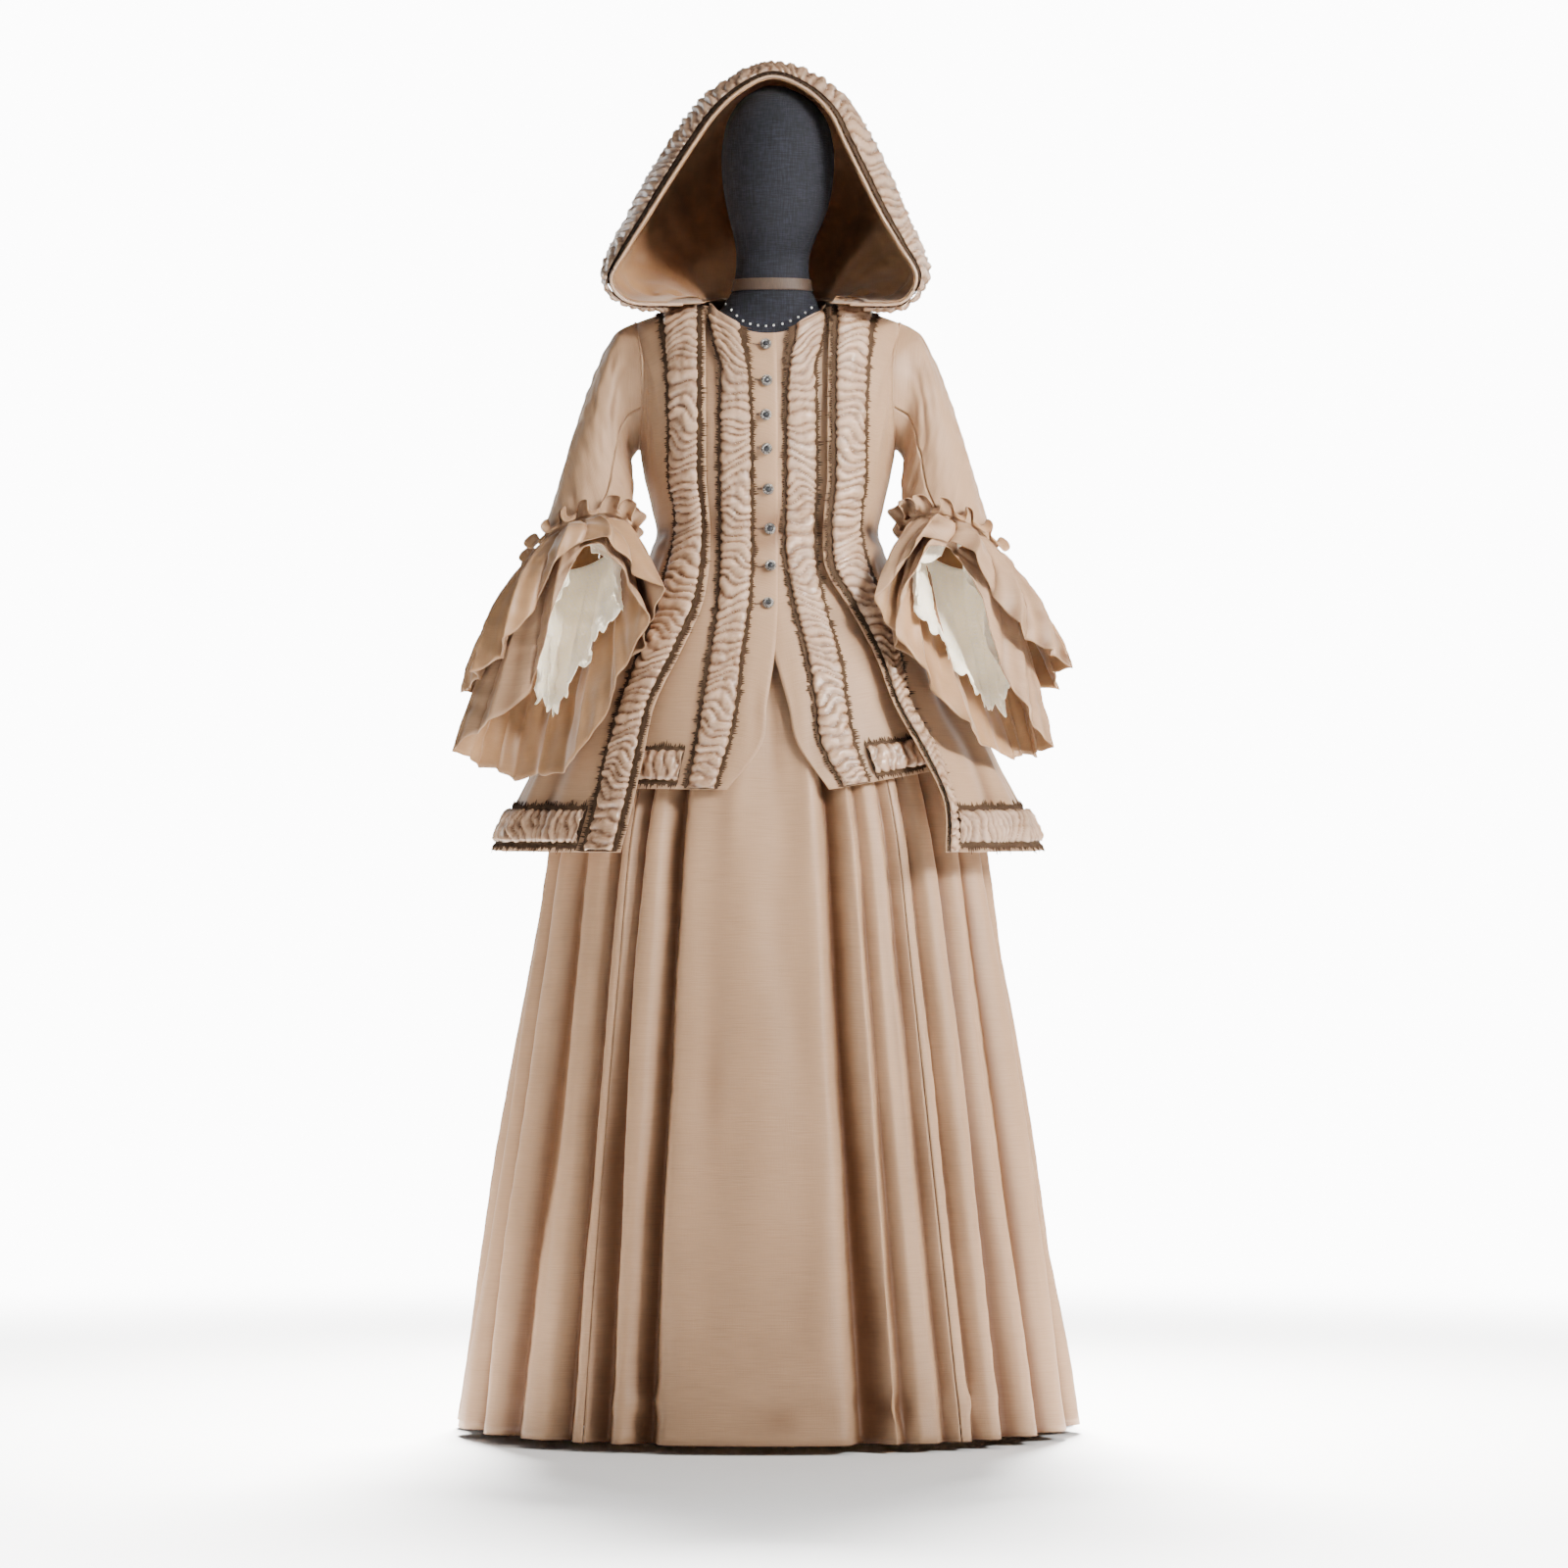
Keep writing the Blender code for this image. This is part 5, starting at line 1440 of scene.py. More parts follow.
# Pulls on the waistcoat: distance from the centre, height, turn, length, half width, depth, bow
WAISTCOAT_CREASES = {
    LEFT: (
        (20, 1128, 8, 70, 5, -1.8, 2), (24, 1140, 4, 80, 5, 1.6, 2), (22, 1112, 14, 70, 5, 1.6, 2),
        (18, 1090, 22, 80, 6, -1.6, 3), (30, 1060, 70, 120, 9, 2.2, 4), (52, 1000, 74, 190, 12, -2.8, 6),
        (34, 960, 84, 180, 9, 2.4, 3), (70, 930, 80, 160, 10, 2.6, -4), (20, 1190, 12, 60, 7, 1.2, 2),
        (34, 1260, 24, 90, 10, -1.2, 3), (30, 1330, 40, 80, 10, 1.4, 3), (16, 900, 88, 130, 8, -1.8, 2),
    ),
    RIGHT: (
        (18, 1126, -6, 60, 5, 1.8, 2), (22, 1140, -3, 70, 5, -1.6, 2), (20, 1108, -12, 70, 5, -1.6, 2),
        (30, 1050, 112, 110, 9, 2.2, -4), (52, 990, 108, 190, 12, -2.8, -6), (44, 940, 100, 160, 9, 2.4, -3),
        (80, 920, 104, 160, 10, 2.6, 4), (26, 1180, -10, 60, 7, 1.4, 2), (32, 1270, -20, 90, 10, -1.2, 3),
        (30, 1340, -36, 80, 10, 1.4, 3), (60, 880, 96, 110, 9, -2.0, 2),
    ),
}


def waistcoat_sheet(side, inward):
    """Fronts seen between the jacket's edges; the right one lies under the left by inward."""
    lines = WAISTCOAT_LINES[side]
    columns = []
    for number, line in enumerate(FRONT_LINES[1:]):
        distance = lines.at(line, np.array(WAISTCOAT_ROWS, float))
        fade = np.clip((985.0 - np.array(WAISTCOAT_ROWS)) / (985.0 - WAISTCOAT_HEM), 0, 1)
        height = np.array(WAISTCOAT_ROWS) + WAISTCOAT_RISE[side] * fade * np.maximum(distance - 80, 0)
        low = ring(WAISTCOAT, height, angle_of(WAISTCOAT, height, side * distance), -inward)
        top_x, top_height = WAISTCOAT_TOP.rows[number, 1:]
        high = upper_column(WAISTCOAT, low[-1, 0], side * top_x, top_height, False,
                            WAISTCOAT_UPPER_ROWS, WAISTCOAT_DROP + inward)
        high[:, 1] += inward
        columns.append(np.concatenate([low, high]))
    return Sheet(np.stack(columns, 1), body_axis)


def waistcoat_front(side):
    def fold(points, rows, columns):
        distance = points[..., 0] * side
        lift = creases(distance, points[..., 2], WAISTCOAT_CREASES[side])
        lift += 0.6 * crumple() * soft_noise(distance, points[..., 2], 40, 8 + side)
        return np.clip(lift, -1.6 if side == LEFT else -1.9, 1.0) \
            * np.clip(columns / 0.4, 0.2, 1)[None, :]
    inward = 0.0 if side == LEFT else WAISTCOAT_LAP
    return FineSheet(waistcoat_sheet(side, inward), body_axis, fold)


class COSTUME_OT_waistcoat(bpy.types.Operator):
    """Makes the two waistcoat fronts with their bands, buttons and buttonholes"""
    bl_idname = "costume.waistcoat"
    bl_label = "Waistcoat"

    def execute(self, context):
        fronts = {side: waistcoat_front(side) for side, name in SIDES}
        for side, name in SIDES:
            sheet = fronts[side]
            panel = sheet.panel()
            add_panel("waistcoat_front_" + name, panel, from_axis)
            last = len(WAISTCOAT_ROWS) + WAISTCOAT_UPPER_ROWS - 1
            rows = np.arange(last + 1, dtype=float)
            widen = np.clip(rows - (last - 2), 0, 1)
            yoke = np.clip(4.6 * (rows >= last - 2), 0, 5)
            add_band("waistcoat_" + name, "waistcoat_front_" + name + "_cloth", sheet, from_axis,
                     rows, 1 + 0 * rows, 1.5 + 0.5 * widen, 2 + 0.75 * widen, True, yoke, 20 + side)
            ends = np.array([2.12, 3.0, 3.9])
            add_band("waistcoat_hem_" + name, "waistcoat_front_" + name + "_cloth", sheet,
                     from_axis, ends, 0 * ends, 0.5 + 0 * ends,
                     1 + 0 * ends, False, 0.0, 30 + side)
        add_buttons(fronts[LEFT])
        return {"FINISHED"}


# A button's turned outline and that of its black centre, as (radius, height)
BUTTON_RIM = ((0, 3.6), (3.6, 3.7), (3.9, 4.6), (4.6, 5.3), (5.6, 5.2), (6.6, 4.4), (7.3, 3.0),
              (7.1, 1.4), (6.6, 0.2), (2.4, 0.1), (2.0, -0.8), (0, -0.8))
BUTTON_CENTRE = ((0, 5.3), (1.6, 5.15), (2.9, 4.6), (3.5, 3.8), (3.3, 3.65), (0, 3.65))


def add_buttons(sheet):
    """Eight cut steel buttons with black centres, each turned square to the cloth, and a worked
    buttonhole in dark silk beside each."""
    rows = np.linspace(0, sheet.sheet.points.shape[0] - 1, 481) / FINE
    heights = sheet.at(rows, BUTTON_COLUMN)[:, 2]
    for number, x, height in BUTTONS.rows:
        number, row = int(number), float(np.interp(height, heights, rows))
        place = sheet.at(row, BUTTON_COLUMN, BUTTON_OUT)
        ahead = sheet.at(row, BUTTON_COLUMN, BUTTON_OUT + 1.0) - place
        ahead /= np.linalg.norm(ahead)
        side = np.cross((0.0, 0.0, 1.0), ahead)
        side /= np.linalg.norm(side)
        turn = np.stack([side, np.cross(ahead, side), ahead], 1)
        spot = np.array([x, place[1], place[2]])
        own(lathe(f"button_{number}_steel", BUTTON_RIM, 36, finish("cut_steel"), turn, spot),
            "button", f"button_{number}")
        own(lathe(f"button_{number}_centre", BUTTON_CENTRE, 24, finish("black_centre"), turn,
                  spot), "button")
        add_buttonhole(number, sheet, row, spot)


def add_buttonhole(number, sheet, row, spot):
    """A bar of close stitches, short threads side by side, from 8.5 to 16.5 mm beside the
    button's middle."""
    share = np.linspace(0, 1, 400)
    line = sheet.sheet.at(np.full(400, row * FINE), share * FINE)
    near, far = (np.interp(-spot[0] + reach, -line[:, 0], share) if line[0, 0] > line[-1, 0]
                 else other for reach, other in ((8.5, 0.6), (16.5, 0.9)))
    stitches = []
    for k, column in enumerate(np.linspace(near, far, 12)):
        reach = 0.022 + 0.006 * math.sin(k * 2.4)
        rows = row + np.linspace(-reach, reach, 5)
        stitches.append(sheet.at(rows, np.full(5, column), np.array([0.5, 1.1, 1.3, 1.1, 0.5])))
    own(tube(f"buttonhole_{number}", stitches, 0.36, finish("dark_thread"), 5), "fray")


# Jacket

# A fold's place on the jacket or hood is its column, and on the hood its row, times these
COLUMN_STEP, ROW_STEP = 30, 45
JACKET_CORNERS = (0, 1, 3, 11, 13, 17, 19, 27, 29, 30)
SHOULDER_COLUMNS = (1, 2, 3, 11, 12, 13)
SHOULDER_TAPE_IN = 2.6

# Folds of the jacket: column counted from its front edge to the centre back (0 to 15) times
# 30 mm, height, turn, length, half width, depth, bow
JACKET_CREASES = (
    (118, 1100, 14, 110, 6, -1.8, 3), (112, 1122, 6, 120, 6, 1.8, 3), (125, 1138, -4, 130, 6, -1.6, 3),
    (150, 1120, 172, 120, 7, 1.8, 3), (178, 1106, 164, 110, 7, -1.8, 4), (196, 1128, 176, 120, 7, 1.5, 2),
    (98, 1040, 74, 150, 9, 2.6, 4), (124, 980, 82, 210, 12, -3.4, 6), (150, 940, 86, 230, 12, 3.2, -5),
    (176, 900, 92, 240, 13, -3.4, 6), (203, 930, 88, 240, 13, 3.2, 4), (232, 900, 94, 260, 13, -3.6, -6),
    (262, 930, 90, 250, 13, 3.4, 4), (292, 900, 86, 260, 13, -3.6, 6), (322, 930, 92, 250, 13, 3.4, -5),
    (352, 900, 90, 260, 13, -3.6, 5), (382, 920, 88, 250, 13, 3.2, 4), (412, 900, 92, 240, 13, -3.2, -5),
    (438, 930, 90, 230, 12, 3.0, 4), (110, 1250, 60, 120, 10, 1.8, 5), (150, 1300, 118, 130, 11, -1.8, -5),
    (92, 1340, 70, 130, 10, 1.5, 4), (210, 1190, 80, 90, 9, 1.6, 3), (250, 1160, 96, 110, 9, -1.6, -3),
    (330, 1200, 84, 140, 11, 1.6, 4), (390, 1250, 96, 150, 12, -1.6, -4), (360, 1330, 76, 120, 12, 1.6, 5),
    (430, 1180, 90, 150, 10, 1.5, 3), (300, 1300, 100, 140, 12, -1.5, 4), (405, 1390, 12, 120, 12, 1.4, 3),
)


def armhole_point(turn):
    return float(ARMHOLE.at("distance", turn)), float(ARMHOLE.at("height", turn))


def to_shoulder(x, height):
    """How far the front and the back move at the shoulder seam, so that they meet there."""
    front, rear = (dome(JACKET, np.float64(x), np.float64(height), back)[1]
                   for back in (False, True))
    return (rear - front) / 2 * float(np.clip((x - 90) / 40, 0, 1))


def jacket_tops():
    """Where each column ends above: distance from the centre, height, whether on the back."""
    def shoulder(distance):
        return SHOULDER_AT_CENTRE - SHOULDER_SLOPE * distance

    tops = [(79, 1432, False), (108, shoulder(108), False), (143, shoulder(143), False)]
    tops += [(*armhole_point(turn), False) for turn in (0, 45, 90, 135, 180)]
    tops += [(*armhole_point(turn), True) for turn in (135, 90, 45, 0)]
    tops += [(143, shoulder(143), True), (82, shoulder(82), True), (42, 1447, True),
             (0, 1446, True)]
    return tops


def jacket_half(side):
    """Columns of half the jacket, from the front edge round to the centre back."""
    heights = np.array(JACKET_ROWS, float)
    edge = JACKET_EDGE[side]
    edge_angle = angle_of(JACKET, heights, edge.at("edge", heights))
    band_angle = angle_of(JACKET, heights, edge.at("band", heights))
    fall = np.clip((1110 - heights) / (1110 - JACKET_HEM), 0, 1) ** 1.2
    columns = []
    for number, (top_x, top_height, back) in enumerate(jacket_tops()):
        if number <= BAND_COLUMN:
            angle = edge_angle + (band_angle - edge_angle) * number / BAND_COLUMN
        elif number <= SIDE_COLUMN:
            share = (number - BAND_COLUMN) / (SIDE_COLUMN - BAND_COLUMN)
            angle = band_angle + (90 - band_angle) * share
        else:
            angle = 90 + 90 * (number - SIDE_COLUMN) / (BACK_COLUMN - SIDE_COLUMN) + 0 * heights
        low = ring(JACKET, heights, side * angle, PEPLUM_SPRING[number] * fall)
        if number <= BAND_COLUMN:
            low[:, 1] -= edge.at("forward", heights) * (1 - number / BAND_COLUMN) ** 1.3
        high = upper_column(JACKET, low[-1, 0], side * top_x, top_height, back, JACKET_UPPER_ROWS,
                            at_side=number == SIDE_COLUMN)
        if number in SHOULDER_COLUMNS:
            step = to_shoulder(top_x, top_height) * (-1 if back else 1)
            high[-2:, 1] += step * np.array([0.3, 1.0])
        columns.append(np.concatenate([low, high]))
    return np.stack(columns, 1)


def jacket_sheet():
    left, right = jacket_half(LEFT), jacket_half(RIGHT)
    sheet = Sheet(np.concatenate([left, right[:, ::-1][:, 1:]], 1), body_axis)

    def fold(points, rows, columns):
        number = np.minimum(columns, 2 * BACK_COLUMN - columns)[None, :] + 0 * points[..., 2]
        place, height = number * COLUMN_STEP, points[..., 2]
        lift = creases(place, height, JACKET_CREASES)
        lift += 0.8 * crumple() * soft_noise(columns[None, :] * 22 + 0 * height, height * 0.8, 60, 12)
        # Flat under the bands, and at the neck and armholes
        band = np.clip((number - BAND_COLUMN) / 0.8, 0, 1)
        hem = np.clip((rows - 0.9) / 0.8, 0.15, 1)[:, None]
        top = np.clip((rows[-1] - rows) / 1.2, 0, 1)[:, None]
        return np.clip(lift, -3.2, 3.2) * band * hem * top

    return FineSheet(sheet, body_axis, fold, JACKET_CORNERS)


class COSTUME_OT_jacket(bpy.types.Operator):
    """Makes the jacket's body with its front bands and its hem band"""
    bl_idname = "costume.jacket"
    bl_label = "Jacket"

    def execute(self, context):
        sheet = jacket_sheet()
        last = 2 * BACK_COLUMN
        panels = (("jacket_front_left", 0, SIDE_COLUMN),
                  ("jacket_side_back_left", SIDE_COLUMN, SIDE_BACK_COLUMN),
                  ("jacket_back", SIDE_BACK_COLUMN, last - SIDE_BACK_COLUMN),
                  ("jacket_side_back_right", last - SIDE_BACK_COLUMN, last - SIDE_COLUMN),
                  ("jacket_front_right", last - SIDE_COLUMN, last))
        for name, first, end in panels:
            add_panel(name, drawn_in(sheet.panel(first, end), SEAM_GAP), from_axis)
        rows = np.arange(len(JACKET_ROWS) + JACKET_UPPER_ROWS, dtype=float)
        inner = float(BAND_COLUMN)
        for name, first, seed in (("left", 0.0, 41), ("right", last - inner, 43)):
            lines = [first + share * inner + 0 * rows for share in (0, 0.5, 1)]
            add_band("jacket_front_band_" + name, "jacket_front_" + name + "_cloth", sheet,
                     from_axis, rows, *lines, True, 0.0, seed)
        columns = np.concatenate([[inner + 0.06], np.arange(inner + 1, last - inner),
                                  [last - inner - 0.06]])
        add_band("jacket_hem_band", "jacket_back_cloth", sheet, from_axis, columns,
                 0 * columns, 0.5 + 0 * columns, 1 + 0 * columns, False, 0.0, 47)
        add_shoulder_tapes(sheet)
        return {"FINISHED"}


def add_shoulder_tapes(sheet):
    """The tape under each shoulder seam, from the neck to the armhole: a front and a back point
    on the seam and one on each side below it, all moved in."""
    along = np.linspace(0, 1, 24)
    last = float(len(JACKET_ROWS) + JACKET_UPPER_ROWS - 1)
    for side, name in SIDES:
        front, rear = 1 + 2 * along, 13 - 2 * along
        if side == RIGHT:
            front, rear = 2 * BACK_COLUMN - front, 2 * BACK_COLUMN - rear
        top = sheet.at(last + 0 * along, front)
        other = sheet.at(last + 0 * along, rear)
        order = np.argsort(np.abs(other[:, 0]))
        other = np.stack([np.interp(np.abs(top[:, 0]), np.abs(other[order, 0]), other[order, k])
                          for k in range(3)], 1)
        other[:, 0] = top[:, 0]
        tape = np.stack([top + (0, -6, -5), top, other, other + (0, 6, -5)])
        tape = refine(tape - np.array([0, 0, SHOULDER_TAPE_IN]), np.linspace(0, 3, 10),
                      np.linspace(0, 23, 47))
        piece = wall("shoulder_tape_" + name, tape, TAPE_WALL, upward, finish("lining"),
                     finish("lining"))
        declare_cloth(tape)
        own(piece, "lining")


# Sleeves and what hangs from them

FRILL_WAVES = 9
# Seams of a sleeve in sixteenths of a turn, and what a degree round it is worth in millimetres
SLEEVE_FRONT_SEAM, SLEEVE_BACK_SEAM = 5, 11
SLEEVE_ROUND = 1.1
SLEEVE_TURN, SLEEVE_ROWS, FLOUNCE_TURN = 3.75, 84, 1.6

# Folds of a sleeve: turn round it in degrees times 1.1 mm, distance along it from the armhole,
# slope, length, half width, depth, bow
SLEEVE_CREASES = (
    (90, 40, 62, 120, 9, -2.6, 5), (60, 70, 70, 150, 10, 2.4, 6), (20, 60, 84, 150, 11, -2.2, 4),
    (120, 60, 40, 90, 8, 2.2, 4), (150, 90, 20, 90, 8, -2.6, 5), (160, 130, 6, 100, 8, 2.4, 4),
    (150, 165, -8, 110, 8, -2.6, 4), (120, 190, -14, 110, 8, 2.2, 4), (80, 215, -4, 120, 8, -1.8, 3),
    (30, 200, 78, 120, 10, 2.0, 4), (-20, 120, 84, 170, 12, -2.0, 4), (-60, 90, 96, 150, 12, 2.2, 5),
    (-100, 110, 110, 130, 10, -2.4, 5), (-140, 150, 160, 110, 8, 2.4, 4), (-150, 190, 176, 110, 8, -2.4, 4),
    (200, 110, 14, 80, 8, 2.2, 3), (230, 150, 4, 90, 8, -2.2, 3), (260, 100, 100, 120, 10, 2.0, 4),
    (300, 90, 84, 140, 11, -2.2, 5), (340, 130, 92, 150, 12, 2.0, 4),
)


def sleeve_frame(side, row):
    """Centre of a sleeve ring and its half axes toward the outer and the front side."""
    outer_x, outer_z, inner_x, inner_z, depth, y, tilt = row[1:]
    centre = np.array([side * (outer_x + inner_x) / 2, y, (outer_z + inner_z) / 2])
    across = np.array([side * (outer_x - inner_x) / 2, 0.0, (outer_z - inner_z) / 2])
    lean = math.radians(tilt)
    front = np.array([0.0, -depth * math.cos(lean), depth * math.sin(lean)])
    return centre, across, front


def sleeve_end(side):
    """The last ring of a sleeve and the direction in which the sleeve runs out there."""
    centre, across, front = sleeve_frame(side, SLEEVE.rows[-1])
    down = centre - sleeve_frame(side, SLEEVE.rows[-2])[0]
    return centre, across, front, down / np.linalg.norm(down)


def sleeve_rings(side, turns):
    """Rings of a sleeve at the turns (degrees): the armhole first, then the table's rings."""
    corner = []
    for knot in np.arange(0, 360, 45):
        distance, height = armhole_point(knot if knot <= 180 else 360 - knot)
        corner.append(dome(JACKET, np.float64(distance), np.float64(height), knot > 180))
    corner = np.array(corner)
    corner[0, 1] += to_shoulder(*armhole_point(0))
    corner[4, 1] *= 0.5
    first = spline(corner, turns / 45.0, closed=True)
    first[:, 0] = side * (first[:, 0] + ARMHOLE_GAP)
    rings = [first]
    for row in SLEEVE.rows:
        centre, across, front = sleeve_frame(side, row)
        angle = np.radians(turns)[:, None]
        rings.append(centre + np.cos(angle) * across + np.sin(angle) * front)
    return np.stack(rings)


class COSTUME_OT_sleeves(bpy.types.Operator):
    """Makes the sleeves with their frills, flounces and embroidered cuffs"""
    bl_idname = "costume.sleeves"
    bl_label = "Sleeves and flounces"

    def execute(self, context):
        for side, name in SIDES:
            add_sleeve(side, name)
            add_armhole_seam(side, name)
            add_flounces(side, name)
            add_frill(side, name)
        return {"FINISHED"}


def from_sleeve(side):
    """Direction away from the middle line of a sleeve."""
    middles = np.array([sleeve_frame(side, row)[0] for row in SLEEVE.rows])

    def outward(point):
        return point - middles[np.argmin(np.linalg.norm(middles - point, axis=1))]
    return outward


def add_sleeve(side, name):
    turns = np.arange(0, 360, SLEEVE_TURN)
    coarse = sleeve_rings(side, turns)
    rows = np.linspace(0, len(coarse) - 1, SLEEVE_ROWS)
    grid = spline(coarse, rows)
    down, _ = lengths(grid)
    turn = (turns + 180) % 360 - 180
    round_by = turn[None, :] * SLEEVE_ROUND + 0 * down
    lift = creases(round_by, down, SLEEVE_CREASES)
    lift += 0.9 * crumple() * soft_noise(round_by, down, 34, 50 + side)
    ends = np.clip(np.minimum(rows, (rows[-1] - rows) * 1.2) / 0.8, 0, 1)[:, None]
    outward = from_sleeve(side)
    grid = grid + normals(grid, outward, True) * (np.clip(lift, -2.8, 2.8) * ends)[..., None]
    steps = len(turns)
    order = (SLEEVE_BACK_SEAM * steps // 16 + np.arange(steps + 1)) % steps
    around = grid[:, order]
    split = ((SLEEVE_FRONT_SEAM - SLEEVE_BACK_SEAM) % 16) * steps // 16
    for node, panel in (("sleeve_top_", around[:, :split + 1]),
                        ("sleeve_under_", around[:, split:])):
        add_panel(node + name, drawn_in(panel, SEAM_GAP),
                  outward)


def ruffle(turns, s, waves, phase, side, crowd):
    """Height of a flounce's folds, about -1 to 1, and how far they lean over along the ring.

    height = cos(w) + 0.16 cos(3 w) and lean = 0.42 sin(2 w), where w is waves times the turn plus
    a phase that swings with s, which bends the folds into an S. Slower waves make them differ,
    and crowd sin(turn) draws them together on the outer side.
    """
    turn = np.radians(turns)
    bend = side * (0.75 * math.sin(math.pi * s) - 0.35 * s)
    uneven = 0.30 * np.cos(3 * turn + 0.7 + side) + 0.24 * np.cos(5 * turn + 2.1)
    w = waves * turn + math.radians(phase) + bend + uneven + crowd * np.sin(turn)
    size = 1 + 0.30 * np.cos(3 * turn + 1.1 * side)
    height = (np.cos(w) + 0.16 * np.cos(3 * w)) * size + 0.18 * s * np.cos(2 * w + 1.0)
    return height, -0.42 * np.sin(2 * w) * size


def hanging_tube(side, hem, rows, turns, start_scale, start_drop, swell, wave, waves, phase,
                 gather, fade, calm, crowd, scallop=0.0, scallops=0):
    """A gathered tube from the sleeve's end ring to a hem given by a table of turns.

    point = start + (hem - start) s + outward (swell sin(pi s) + deep height + gather
    cos(2.5 waves turn) s^0.3 (1 - s)^0.8) + along the ring deep lean, where deep is wave s^fade
    (1 - calm s). calm quiets the folds toward the hem. A scalloped edge shortens s by scallop
    times 1 - |sin(scallops turn / 2)|.
    """
    centre, across, front, down = sleeve_end(side)
    angle = np.radians(turns)[:, None]
    spoke = np.cos(angle) * across + np.sin(angle) * front
    start = centre + start_scale * spoke + start_drop * down
    end = np.stack([side * hem.round("x", turns), hem.round("y", turns),
                    hem.round("z", turns)], 1)
    outward = spoke / np.linalg.norm(spoke, axis=1, keepdims=True)
    along = np.cos(angle) * front - np.sin(angle) * across
    along /= np.linalg.norm(along, axis=1, keepdims=True)
    full = swell * (0.6 + 0.4 * np.cos(angle))
    notch = 1 - scallop * (1 - np.abs(np.sin(scallops * np.radians(turns) / 2)))[:, None]
    fine = np.cos(2.5 * waves * angle + 0.9 * np.sin(3 * angle) + side)
    fine *= 0.75 + 0.25 * np.cos(4 * angle)
    rings = []
    for s in rows:
        height, lean = ruffle(turns, s, waves, phase, side, crowd)
        deep = wave * s**fade * (1 - calm * s)
        out = full * math.sin(math.pi * s) + deep * height[:, None]
        out = out + gather * fine * s**0.3 * (1 - s)**0.8
        rings.append(start + (end - start) * s * notch + outward * out
                     + along * deep * lean[:, None])
    return np.stack(rings)


def add_armhole_seam(side, name):
    """The corded seam that joins a sleeve to its armhole."""
    ring_points = sleeve_rings(side, np.arange(0, 363, 3.0))[0]
    ring_points[:, 0] -= side * 0.6 * ARMHOLE_GAP
    own(tube("armhole_seam_" + name, ring_points, 1.9, finish("silk"), 8), "cloth")


# The hanging tubes: scale of the sleeve's end ring and drop along it where they start, swell,
# height and number of their waves, phase, gathers, how the waves fade in and calm down, and how
# they crowd on the outer side
TUBE = ("start_scale", "start_drop", "swell", "wave", "waves", "phase", "gather", "fade", "calm",
        "crowd")
FLOUNCES = (
    ("flounce_lower_", LOWER_FLOUNCE, 32, (1.0, 0.5, 9.0, 8.5, 9, 40, 2.0, 0.5, 0.3, 1.5)),
    ("flounce_upper_", UPPER_FLOUNCE, 34, (1.06, -2.5, 18.0, 12.5, 11, 40, 2.5, 0.3, 0.3, 4.0)),
)
CUFF_TUBE = (0.943, -1.0, 2.0, 7.0, 8, 0, 1.5, 0.6, 0.0, 1.5)
CUFF_ROWS, CUFF_SCALLOP, CUFF_SCALLOPS = 32, 0.07, 30


def add_flounces(side, name):
    turns = np.arange(0, 360, FLOUNCE_TURN)
    outward = from_sleeve(side)
    for node, hems, count, shape in FLOUNCES:
        rows = np.linspace(0, 1, count)
        grid = hanging_tube(side, hems[side], rows, turns, **dict(zip(TUBE, shape)))
        down, over = lengths(grid)
        lift = 1.5 * crumple() * soft_noise(over, down * 0.6, 44, 60 + side) * rows[:, None] ** 0.5
        grid = grid + normals(grid, outward, True) * lift[..., None]
        add_panel(node + name, grid, outward,
                  thickness=FLOUNCE_WALL, closed=True)
    rows = np.linspace(0, 1, CUFF_ROWS)
    cuff, cut = (hanging_tube(side, CREAM_CUFF[side], rows, turns, **dict(zip(TUBE, CUFF_TUBE)),
                              scallop=scallop, scallops=CUFF_SCALLOPS)
                 for scallop in (CUFF_SCALLOP, 0.0))
    down, over = lengths(cuff)
    lift = 4.0 * soft_noise(over, down, 60, 91 + side) - 3.0 * np.abs(soft_noise(over, down, 36, 95))
    lift *= (rows[:, None] * (1 - 0.3 * rows[:, None])) ** 0.7
    cuff = cuff + normals(cuff, outward, True) * lift[..., None]
    add_panel("cream_cuff_" + name, cuff, outward,
              "cream", "cream", CUFF_WALL, True, "cream", cut=cut)


def add_frill(side, name):
    """The gathered frill above the flounces: the sleeve's end ring times a growing share. Its
    loops stand out by cos(w) + 0.25 cos(3 w), wave up and down by a quarter turn later, and
    roll over at their free edge."""
    centre, across, front, down = sleeve_end(side)
    turns = np.arange(0, 360, 1.0)
    angle = np.radians(turns)[:, None]
    spoke = np.cos(angle) * across + np.sin(angle) * front
    along = np.cos(angle) * front - np.sin(angle) * across
    along /= np.linalg.norm(along, axis=1, keepdims=True)
    uneven = 0.9 * np.sin(2 * angle + side) + 0.5 * np.sin(5 * angle)
    w = 1.5 * FRILL_WAVES * angle + math.radians(180) * angle / math.pi + uneven
    ripple = np.cos(w) + 0.25 * np.cos(3 * w)
    tall = 1 + 0.3 * np.cos(4 * angle + side) * np.cos(2 * angle)
    table = np.array(FRILL_ROWS)
    rings = []
    for place in np.linspace(0, len(table) - 1, 17):
        scale, drop, wave = spline(table, np.array([place]))[0]
        roll = 9 * np.clip(place - 1.2, 0, 1) ** 2
        rings.append(centre + spoke * (scale + 0.85 * wave * ripple * tall)
                     + (drop * (0.8 + 0.2 * tall) + 62 * wave * np.sin(w) + roll) * down
                     + along * (-16 * wave * np.sin(2 * w) * tall))
    add_panel("sleeve_frill_" + name, np.stack(rings),
              from_sleeve(side), thickness=FLOUNCE_WALL, closed=True, strip=True)


# Hood

